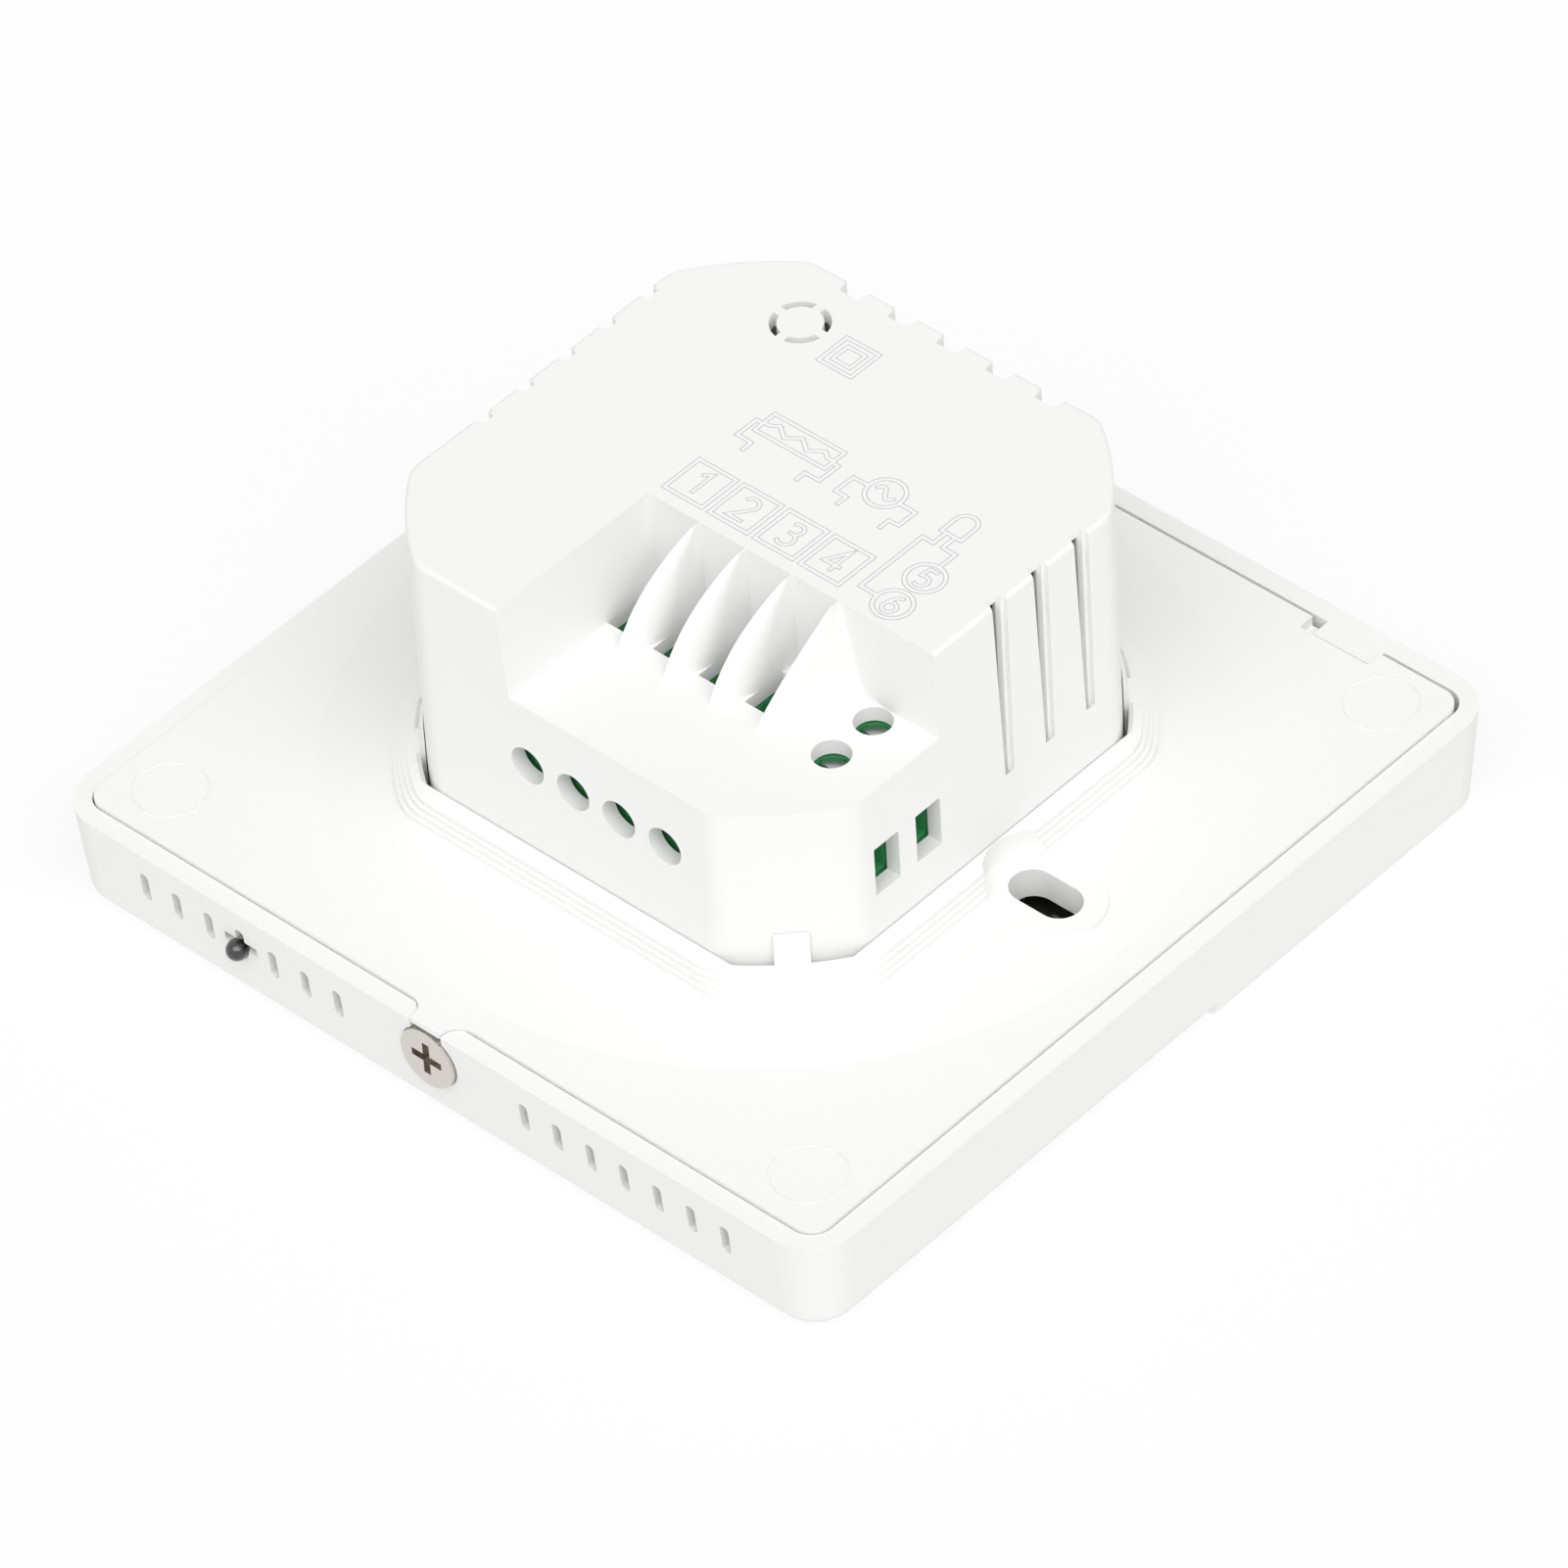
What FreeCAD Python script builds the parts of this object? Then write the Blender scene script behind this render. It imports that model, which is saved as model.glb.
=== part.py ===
"""Wifi thermostat for a 60 mm wall box, lying on its front with the wall side up. Millimetres.

X runs along the edge that holds the cover screw, Y from that edge towards the two hooks, and Z from the front
glass towards the wall. The origin lies on the front glass's outer face, at the middle of the cover.
"""
import FreeCAD
import Part
import math
import os

V = FreeCAD.Vector
X_AXIS = V(1, 0, 0)
Y_AXIS = V(0, 1, 0)
Z_AXIS = V(0, 0, 1)

# How far a cut runs past what it cuts, how far a grown piece reaches into its root, and what counts as flat
PAST = 1.0
ROOT_BITE = 0.5
FLAT = 1e-3

# Front cover
COVER_SIDE = 86.0
COVER_CORNER_R = 4.5
COVER_DRAFT_DEG = 5.0
COVER_EDGE_R = 1.0
COVER_WALL_T = 2.6
COVER_FLOOR_T = 1.6
RIM_Z = 10.6
BROW_STEP = 1.0
BROW_START_Y = 7.0

# Wall vents and the sensor's cross-shaped opening in the cover
VENT_COUNT = 7
VENT_FIRST_X = 10.5
VENT_PITCH = 3.69
VENT_W = 0.95
VENT_H = 3.05
VENT_MID_Z = 6.68
SENSOR_VENT_INDEX = 3
CROSS_ARM_L = 3.7
CROSS_ARM_Z = 6.8
CROSS_POST_H = 3.3
BEAD_R = 0.98
BEAD_Z = 6.3
BEAD_OUT = 0.4
BEAD_SEAT_GAP = 0.08
LEAD_R = 0.12
LEAD_GAP = 0.4
LEAD_Z = 6.62
LEAD_RUN = 2.0
LEAD_EDGE_IN = 0.3

# Front glass, display and touch keys
GLASS_X = 70.0
GLASS_Y = 62.0
GLASS_T = 1.6
GLASS_MID_Y = 1.0
GLASS_CORNER_R = 3.0
GLASS_GAP = 0.15
DISPLAY_X = 60.0
DISPLAY_Y = 45.0
DISPLAY_MID_Y = 3.0
DISPLAY_T = 1.8
DISPLAY_GAP = 0.3
DIFFUSER_T = 1.0
FRAME_WALL_T = 2.7
FRAME_LIP = 1.5
LAMP_X = 3.0
LAMP_Y = 2.8
LAMP_T = 0.75
LAMP_PITCH_X = 18.0
LAMP_PITCH_Y = 18.0
KEY_COUNT = 5
KEY_PITCH = 12.0
KEY_PAD_R = 2.75
KEY_MID_Y = -26.0

# Control board and what stands on it
BOARD_SIDE = 72.0
BOARD_T = 1.2
BOARD_BACK_Z = 6.8
BOARD_CORNER_R = 3.0
BOARD_SCREW_AT = 33.0
BOARD_BOSS_R = 3.0
RADIO_X = 18.0
RADIO_Y = 9.5
RADIO_T = 0.8
RADIO_MID_X = -8.0
RADIO_MID_Y = 31.0
SHIELD_X = 12.0
SHIELD_Y = 8.5
SHIELD_T = 1.0
CHIP_SIDE = 10.0
CHIP_T = 1.4
CHIP_MID_X = -11.0
CHIP_MID_Y = 10.0
BUZZER_R = 4.5
BUZZER_T = 3.6
BUZZER_MID_X = 13.0
BUZZER_MID_Y = 11.0
HEADER_COUNT = 8
HEADER_PITCH = 2.54
HEADER_MID_Y = -4.0
HEADER_STRIP_T = 2.5
HEADER_STRIP_Y = 2.5
HEADER_PIN_W = 0.64
HEADER_PIN_TOP = 12.7
HEADER_PIN_TAIL = 0.6
SOCKET_START_GAP = 0.4
SOCKET_ROOF_T = 0.9
SOCKET_WALL_T = 0.8
SOCKET_SWING_GAP = 0.75
CONTACT_T = 0.2
CONTACT_W = 1.2
CONTACT_SHORT = 0.5

# Small fixing screws of the two boards
SMALL_SCREW_R = 1.1
SMALL_HEAD_R = 2.2
SMALL_HEAD_T = 1.5
SMALL_SCREW_BITE = 2.4
SMALL_HOLE_GAP = 0.1
SMALL_TIP_GAP = 0.1
SMALL_RECESS_L = 2.4
SMALL_RECESS_W = 0.5

# Cover screw
COVER_SCREW_Z = 7.2
COVER_HEAD_R = 2.925
COVER_HEAD_BAND = 0.6
COVER_HEAD_PROUD = 0.4
COVER_SHAFT_R = 1.5
COVER_SCREW_L = 6.2
COVER_RECESS_L = 3.3
COVER_RECESS_W = 0.75
COVER_RECESS_DEPTH = 1.3
COVER_HOLE_GAP = 0.1

# Mounting plate
PLATE_IN = 2.0
PLATE_HOOK_SHORT = 0.45
PLATE_CORNER_R = 2.0
PLATE_T = 2.0
PLATE_PROUD = 0.35
PLATE_SEAM = 0.15
APRON_FOOT_IN = 2.5
APRON_TOP_OUT = 2.4
APRON_RISE = 1.15
COLLAR_H = 2.4
COLLAR_STEPS = 4
COLLAR_STEP_IN = 0.2
COLLAR_CORNER_STEP_IN = 0.4
COLLAR_WALL_T = 2.4
COLLAR_CORNER_OUT = 2.9
COLLAR_BLEND_R = 5.0
COLLAR_SLIT = 0.5
COLLAR_BEVEL = 0.4
COLLAR_FIT = 0.1
TAB_W = 3.0
TAB_SEAT = 0.5
FINGER_ROOT_T = 0.5
FINGER_TIP_T = 0.15
FINGER_H = 2.7
RING_IN = 5.14
RING_R = 3.4
RING_W = 0.25
RING_DEPTH = 0.15
SLOT_SPACING = 60.0
SLOT_W = 4.0
SLOT_L = 7.0
SLOT_RECESS_W = 8.0
SLOT_RECESS_L = 11.0
SLOT_WALL_H = 3.05

# Tongue over the cover screw and the fork around the screw's shaft
TONGUE_HALF = 1.6
TONGUE_ROOT_R = 1.7
TONGUE_T = 0.55
TONGUE_GAP = 0.15
NOTCH_DEPTH = 1.0
FORK_HALF = 3.4
FORK_T = 2.7
FORK_GAP = 0.3
FORK_BELOW = 2.3
FORK_SLOT_GAP = 0.35
FORK_BOARD_GAP = 1.7

# Hooks: the cover's two lugs over the plate's notched edge
HOOK_IN_X = 24.45
HOOK_OUT_X = 31.9
HOOK_NOTCH_DEPTH = 1.7
LUG_END_GAP = 1.2
LUG_SIDE_GAP = 0.1
LUG_EDGE_GAP = 0.35
LUG_T = 0.65
LUG_LIFT_GAP = 0.05
SWING_DROP = 0.95
SWING_DROP_RUN = 3.15

# Rear casing
CASING_HALF = 24.35
CASING_CORNER_OUT = 4.75
CASING_TOP_Z = 39.6
CASING_WALL_T = 1.5
CASING_EDGE_R = 0.4
CASING_BLEND_R = 3.0
FLANGE_T = 1.0
FLANGE_OUT = 1.55
FLANGE_CORNER_OUT = 2.4
SHELF_Z = 30.35
STEP_DEPTH = 18.45
STEP_LEFT_LEAN = 0.8

# Terminals
POLE_PITCH = 5.08
POWER_POLES = 4
POWER_FIRST_X = -4.66
POWER_SCREW_DROP = 5.15
POWER_SEAT_DEPTH = 3.0
POWER_EXTRA = 3.6
POWER_WALL_GAP = 0.65
POWER_BLOCK_BACK_T = 1.0
POWER_TOP_GAP = 0.35
SENSOR_POLES = 2
SENSOR_FACE_DEPTH = 3.7
SENSOR_FIRST_IN = 11.65
SENSOR_SEAT_DROP = 2.05
SENSOR_BLOCK_BACK = 5.3
SENSOR_WALL_GAP = 0.35
SENSOR_TOP_GAP = 0.45
BLOCK_WALL_END = 2.54
WIRE_W = 3.0
WIRE_L = 4.6
SIDE_WIRE_DROP = 0.2
SIDE_WIRE_H = 5.1
DRIVER_HOLE_R = 1.8
SENSOR_HOLE_R = 1.7

# One terminal pole, measured down from the seat of its screw head
TERM_HEAD_R = 1.7
TERM_HEAD_T = 1.4
TERM_BORE_GAP = 0.15
TERM_SHAFT_R = 1.45
TERM_SHAFT_GAP = 0.1
TERM_SLOT_W = 0.6
TERM_SLOT_DEPTH = 0.8
CLAMP_TRAVEL = 1.8
CLAMP_HEAD_GAP = 0.6
CLAMP_PLATE_T = 0.6
CLAMP_SIDE_T = 0.4
CLAMP_ACROSS = 3.8
CLAMP_ALONG = 4.0
CLAMP_THREAD_GAP = 0.05
CLAMP_ROOM = 0.15
CLAMP_END_ROOM = 0.25
TIP_GAP = 0.2
TIP_PAST = 0.1
BAR_T = 0.6
BAR_W = 2.4
BAR_LEG_BACK = 3.6
WIRE_GAP = 3.0
PIN_BELOW_BOARD = 1.2

# Scoops between the wire openings
SCOOP_BLADE_T = 0.2
SCOOP_FLANK_SHARE = 0.25
SCOOP_CREST_OUT = 1.0
SCOOP_MID_OUT = 6.1
SCOOP_MID_RISE = 4.25
SCOOP_FOOT_OUT = 8.6
SCOOP_NOSE_SHARE = 0.47
SCOOP_SECTIONS = 5
LAST_FLANK_FOOT = ((0.0, SCOOP_FOOT_OUT), (1.1, 3.6), (2.9, 1.0), (4.3, 0.0))

# Louvres: grooves open to the top that narrow downwards, each with a slit through the wall along its floor
LOUVRE_LOW_Z = 20.6
LOUVRE_SILL_SLOPE = 0.6
LOUVRE_DRAFT = 0.7
LOUVRE_LEFT_LEAN = 0.3
LOUVRE_RIGHT_LEAN = 0.1
LOUVRE_STEP_DEPTH = 0.45
LOUVRE_STEP_W = 0.3
LOUVRE_SLIT_TOP_Z = 38.85
LOUVRE_SLIT_RELIEF = 0.3
SIDE_LOUVRES = 3
SIDE_LOUVRE_FIRST_Y = 1.2
SIDE_LOUVRE_PITCH = 5.05
SIDE_LOUVRE_W = 1.8
SIDE_LOUVRE_DEPTH = 0.95
FAR_LOUVRES = 5
FAR_LOUVRE_FIRST_Y = -8.35
FAR_LOUVRE_W = 1.9
BACK_LOUVRES = 5
BACK_LOUVRE_FIRST_X = -12.1
BACK_LOUVRE_PITCH = 5.4
BACK_LOUVRE_W = 2.8
BACK_LOUVRE_DEPTH = 1.4

# Knock-out disc in the casing's top
DISC_X = -11.44
DISC_Y = 17.83
DISC_R = 2.0
DISC_RING_R = 2.65
DISC_WEBS = 4
DISC_WEB_W = 0.9

# Power board and its posts
POWER_BOARD_Z = 14.5
POWER_BOARD_T = 1.6
POWER_BOARD_GAP = 0.3
POST_R = 2.5
POST_IN_X = 4.35
POST_IN_Y = 6.35
POST_SIDES = ((1, 1), (-1, 1), (-1, -1))

# Parts on the power board, each with its middle and its size
RELAY_WALL_GAP = 0.55
RELAY_MID_Y = -4.0
RELAY_SIZE = (12.0, 19.0, 15.5)
CORE_MID = (6.0, 5.0)
CORE_SIZE = (16.0, 5.2, 13.0)
CORE_YOKE_T = 2.4
CORE_LEG_T = 2.2
CORE_MIDDLE_LEG = 4.0
WINDING_Y = 12.0
WINDING_GAP = 0.1
WINDING_CORNER_R = 1.5
BOBBIN_FOOT_T = 1.2
INPUT_CAP_MID = (-10.5, 12.5)
INPUT_CAP_R = 5.0
INPUT_CAP_H = 16.0
OUTPUT_CAP_YS = (1.4, 8.6)
OUTPUT_CAP_WALL_GAP = 0.65
OUTPUT_CAP_R = 3.0
OUTPUT_CAP_H = 11.0
BRIDGE_MID = (-9.5, 20.2)
BRIDGE_SIZE = (7.0, 4.2, 2.6)
VARISTOR_MID = (-1.3, 14.5)
VARISTOR_R = 3.5
VARISTOR_T = 3.2
VARISTOR_LEG_R = 0.3
VARISTOR_LIFT = 1.0
FUSE_MID = (6.4, 15.0)
FUSE_SIZE = (8.4, 4.0, 8.0)
FILM_MID = (-0.6, 20.0)
FILM_SIZE = (10.0, 5.0, 11.0)
CHOKE_MID = (12.8, 19.5)
CHOKE_R = 3.0
CHOKE_H = 8.0
CHOKE_FLANGE_T = 1.2
CHOKE_WAIST_R = 2.3
SUPPLY_MID = (-11.5, -18.2)
SUPPLY_SIZE = (6.6, 5.0, 3.3)
OPTO_MID = (-18.9, 9.4)
OPTO_SIZE = (6.4, 4.4, 3.4)
PART_EDGE_R = 0.4

# Places that follow from the sizes above
COVER_HALF = COVER_SIDE / 2
PLATE_HALF = COVER_HALF - PLATE_IN
PLATE_EDGE_Y = -PLATE_HALF
PLATE_HOOK_EDGE_Y = PLATE_HALF - PLATE_HOOK_SHORT
HOOK_NOTCH_Y = PLATE_HOOK_EDGE_Y - HOOK_NOTCH_DEPTH
RING_AT = PLATE_HALF - RING_IN
CASING_R = CASING_HALF + CASING_CORNER_OUT
FLANGE_R = CASING_R + FLANGE_CORNER_OUT
COLLAR_HALF = CASING_HALF + COLLAR_WALL_T
COLLAR_R = CASING_R + COLLAR_CORNER_OUT
COLLAR_SLIT_R = CASING_R + COLLAR_SLIT
APRON_FOOT_R = PLATE_HALF - APRON_FOOT_IN
APRON_TOP_R = CASING_R + APRON_TOP_OUT
STEP_WALL_Y = STEP_DEPTH - CASING_HALF
SCOOP_TOP_Y = STEP_WALL_Y - SCOOP_CREST_OUT
COVER_TAPER = math.tan(math.radians(COVER_DRAFT_DEG))
PLATE_TOP = RIM_Z + PLATE_PROUD
PLATE_BOTTOM = PLATE_TOP - PLATE_T
COVER_INNER = COVER_HALF - COVER_WALL_T
COVER_RECESS = PLATE_HALF + PLATE_SEAM
SWING_DROP_START_Y = COVER_RECESS - SWING_DROP_RUN
FORK_OUTER_Y = FORK_GAP - COVER_INNER
FLOOR_TOP = BROW_STEP + COVER_FLOOR_T
DISPLAY_FRONT = GLASS_T + DISPLAY_GAP
DIFFUSER_FRONT = DISPLAY_FRONT + DISPLAY_T
DIFFUSER_BACK = DIFFUSER_FRONT + DIFFUSER_T
BOARD_FRONT_Z = BOARD_BACK_Z - BOARD_T
APRON_TOP = PLATE_TOP + APRON_RISE
COLLAR_TOP = APRON_TOP + COLLAR_H
SLOT_FLOOR = PLATE_BOTTOM + SLOT_WALL_H
ROOF_UNDER = CASING_TOP_Z - CASING_WALL_T
SHELF_UNDER = SHELF_Z - CASING_WALL_T
CASING_INNER = CASING_HALF - CASING_WALL_T
CASING_INNER_R = CASING_R - CASING_WALL_T
POWER_BOARD_TOP = POWER_BOARD_Z + POWER_BOARD_T
POWER_XS = [POWER_FIRST_X + POLE_PITCH * i for i in range(POWER_POLES)]
SENSOR_YS = [SENSOR_FIRST_IN - CASING_HALF + POLE_PITCH * i for i in range(SENSOR_POLES)]
SENSOR_FACE_X = CASING_INNER - SENSOR_WALL_GAP
SENSOR_X = SENSOR_FACE_X - SENSOR_FACE_DEPTH
SENSOR_SEAT_Z = SHELF_UNDER - SENSOR_SEAT_DROP
POWER_SCREW_Z = SHELF_UNDER - POWER_SCREW_DROP
POWER_BLOCK_FRONT_Y = POWER_WALL_GAP - CASING_INNER
POWER_SEAT_Y = POWER_BLOCK_FRONT_Y + POWER_SEAT_DEPTH
STEP_LEFT_X = POWER_FIRST_X - WIRE_W / 2
CLAMP_REST = CLAMP_HEAD_GAP + CLAMP_TRAVEL
TIP_DEPTH = CLAMP_REST + CLAMP_PLATE_T + TIP_PAST
BAR_DEPTH = TIP_DEPTH + TIP_GAP
WIRE_DEPTH = BAR_DEPTH + BAR_T
CLAMP_END = WIRE_DEPTH + WIRE_GAP + CLAMP_PLATE_T
WIRE_MOUTH = CLAMP_END + TIP_GAP
POWER_WIRE_Y = POWER_SEAT_Y + POWER_EXTRA + WIRE_MOUTH - WIRE_L
SIDE_WIRE_LOW = SENSOR_SEAT_Z - WIRE_MOUTH - SIDE_WIRE_DROP
RELAY_MID = (RELAY_SIZE[0] / 2 + RELAY_WALL_GAP - CASING_INNER, RELAY_MID_Y)
OUTPUT_CAP_X = CASING_INNER - OUTPUT_CAP_WALL_GAP - OUTPUT_CAP_R
OUTPUT_CAPS_MID = [(OUTPUT_CAP_X, y) for y in OUTPUT_CAP_YS]
POST_AT = [(sx * (CASING_INNER - POST_IN_X), sy * (CASING_INNER - POST_IN_Y)) for sx, sy in POST_SIDES]
SOCKET_BOTTOM = BOARD_BACK_Z + HEADER_STRIP_T + SOCKET_START_GAP
SOCKET_ROOF_Z = POWER_BOARD_Z - SOCKET_ROOF_T
TROUGH_HALF = HEADER_PIN_W / 2 + SOCKET_SWING_GAP + CONTACT_T


def block(low, high):
    """Box between two opposite corners."""
    return Part.makeBox(high[0] - low[0], high[1] - low[1], high[2] - low[2], V(*low))


def centred(mid, size, bottom_z):
    """Box of the given size standing on bottom_z with its middle at mid."""
    low = (mid[0] - size[0] / 2, mid[1] - size[1] / 2, bottom_z)
    high = (mid[0] + size[0] / 2, mid[1] + size[1] / 2, bottom_z + size[2])
    return block(low, high)


def rod(radius, start, length, axis=Z_AXIS):
    """Cylinder from a start point along an axis."""
    return Part.makeCylinder(radius, length, V(*start), axis)


def merged(shapes):
    """One solid from shapes that touch or overlap."""
    joined = shapes[0].fuse(shapes[1:]).removeSplitter()
    return joined.Solids[0] if len(joined.Solids) == 1 else joined


def rounded_wire(half_x, half_y, radius, z, mid=(0.0, 0.0)):
    """Rectangle with round corners."""
    edges = []
    signs = ((1, -1), (1, 1), (-1, 1), (-1, -1))
    ends = []
    for sx, sy in signs:
        cx = mid[0] + sx * (half_x - radius)
        cy = mid[1] + sy * (half_y - radius)
        along_x = V(cx + sx * radius, cy, z)
        along_y = V(cx, cy + sy * radius, z)
        tip = V(cx + sx * radius * math.sqrt(0.5), cy + sy * radius * math.sqrt(0.5), z)
        first, last = (along_y, along_x) if sx * sy < 0 else (along_x, along_y)
        ends.append((first, tip, last))
    for i, (first, tip, last) in enumerate(ends):
        edges.append(Part.Arc(first, tip, last).toShape())
        edges.append(Part.LineSegment(last, ends[(i + 1) % 4][0]).toShape())
    return Part.Wire(edges)


def rounded_slab(half_x, half_y, radius, low_z, high_z, mid=(0.0, 0.0)):
    """Plate with round corners between two heights."""
    face = Part.Face(rounded_wire(half_x, half_y, radius, low_z, mid))
    return face.extrude(V(0, 0, high_z - low_z))


def squared_wire(half, radius, z):
    """Square outline whose corners are arcs about the Z axis."""
    reach = math.sqrt(radius ** 2 - half ** 2)
    tip = radius * math.sqrt(0.5)
    edges = []
    for quarter in range(4):
        turn = FreeCAD.Rotation(Z_AXIS, 90 * quarter)
        start = turn.multVec(V(half, -reach, z))
        end = turn.multVec(V(half, reach, z))
        middle = turn.multVec(V(tip, tip, z))
        after = turn.multVec(V(reach, half, z))
        edges.append(Part.LineSegment(start, end).toShape())
        edges.append(Part.Arc(end, middle, after).toShape())
    return Part.Wire(edges)


def squared_slab(half, radius, low_z, high_z):
    """Square prism whose corners are arcs about the Z axis."""
    return Part.Face(squared_wire(half, radius, low_z)).extrude(V(0, 0, high_z - low_z))


def stadium(mid, length, width, low_z, high_z):
    """Slot-shaped prism that is long in X."""
    half_run = (length - width) / 2
    parts = [rod(width / 2, (mid[0] + s * half_run, mid[1], low_z), high_z - low_z) for s in (-1, 1)]
    low = (mid[0] - half_run, mid[1] - width / 2, low_z)
    high = (mid[0] + half_run, mid[1] + width / 2, high_z)
    return merged([block(low, high)] + parts)


def wall_slot(mid_x, mid_z, width, height):
    """Round-ended cut through the cover's screw-side wall."""
    half_run = (height - width) / 2
    depth = COVER_HALF - COVER_INNER + 2 * COVER_WALL_T
    start_y = -COVER_HALF - COVER_WALL_T
    parts = [rod(width / 2, (mid_x, start_y, mid_z + s * half_run), depth, Y_AXIS) for s in (-1, 1)]
    low = (mid_x - width / 2, start_y, mid_z - half_run)
    high = (mid_x + width / 2, start_y + depth, mid_z + half_run)
    return merged([block(low, high)] + parts)


def cross_recess(length, width, depth):
    """Cross cut for a screw head whose face is at Z 0 and which lies below it."""
    arms = [block((-length / 2, -width / 2, -depth), (length / 2, width / 2, depth)),
            block((-width / 2, -length / 2, -depth), (width / 2, length / 2, depth))]
    return merged(arms)


def placed(shape, origin, rotation=None):
    """Copy of a shape turned by a rotation and moved to an origin."""
    moved = shape.copy()
    moved.Placement = FreeCAD.Placement(V(*origin), rotation or FreeCAD.Rotation())
    return moved


def tapered_cover(low_z):
    """Outer form of the cover with its face at low_z."""
    shrink = (RIM_Z - low_z) * COVER_TAPER
    rim = rounded_wire(COVER_HALF, COVER_HALF, COVER_CORNER_R, RIM_Z)
    face = rounded_wire(COVER_HALF - shrink, COVER_HALF - shrink, COVER_CORNER_R - shrink, low_z)
    form = Part.makeLoft([face, rim], True, True)
    lowest = [e for e in form.Edges if max(abs(v.Z - low_z) for v in e.Vertexes) < FLAT]
    return form.makeFillet(COVER_EDGE_R, lowest)


def tongue_slab(grow, low_z, high_z):
    """The plate's tongue over the screw, grown all round, widening in two arcs to the plate."""
    half = TONGUE_HALF + grow
    root = half + TONGUE_ROOT_R
    start_y = PLATE_EDGE_Y + grow
    bend = TONGUE_ROOT_R * (1 - math.sqrt(0.5))
    arc_y = PLATE_EDGE_Y - TONGUE_ROOT_R
    end_y = -COVER_HALF - grow
    edges = []
    points = [V(root, start_y, low_z), V(-root, start_y, low_z), V(-root, PLATE_EDGE_Y, low_z)]
    edges.append(Part.LineSegment(points[0], points[1]).toShape())
    if grow > 0:
        edges.append(Part.LineSegment(points[1], points[2]).toShape())
    left_tip = V(-half - bend, PLATE_EDGE_Y - TONGUE_ROOT_R + TONGUE_ROOT_R * math.sqrt(0.5), low_z)
    edges.append(Part.Arc(points[2], left_tip, V(-half, arc_y, low_z)).toShape())
    edges.append(Part.LineSegment(V(-half, arc_y, low_z), V(-half, end_y, low_z)).toShape())
    edges.append(Part.LineSegment(V(-half, end_y, low_z), V(half, end_y, low_z)).toShape())
    edges.append(Part.LineSegment(V(half, end_y, low_z), V(half, arc_y, low_z)).toShape())
    right_tip = V(half + bend, left_tip.y, low_z)
    edges.append(Part.Arc(V(half, arc_y, low_z), right_tip, V(root, PLATE_EDGE_Y, low_z)).toShape())
    if grow > 0:
        edges.append(Part.LineSegment(V(root, PLATE_EDGE_Y, low_z), points[0]).toShape())
    return Part.Face(Part.Wire(edges)).extrude(V(0, 0, high_z - low_z))


def hook_spans(end_gap, side_gap):
    """X range of each hook, drawn in at its inner end and at its outer end."""
    right = (HOOK_IN_X + end_gap, HOOK_OUT_X - side_gap)
    return [right, (-right[1], -right[0])]


def board_corners():
    """Places of the control board's screws."""
    return [(sx * BOARD_SCREW_AT, sy * BOARD_SCREW_AT) for sx in (-1, 1) for sy in (-1, 1)]


def key_places():
    """Places of the touch keys."""
    start = -KEY_PITCH * (KEY_COUNT - 1) / 2
    return [(start + KEY_PITCH * i, KEY_MID_Y) for i in range(KEY_COUNT)]


def wall_face_y(z):
    """Y of the cover's screw-side wall at a height."""
    return -COVER_HALF + (RIM_Z - z) * COVER_TAPER


def vent_places():
    """X of the vents on one side of the screw."""
    return [VENT_FIRST_X + VENT_PITCH * i for i in range(VENT_COUNT)]


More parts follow.
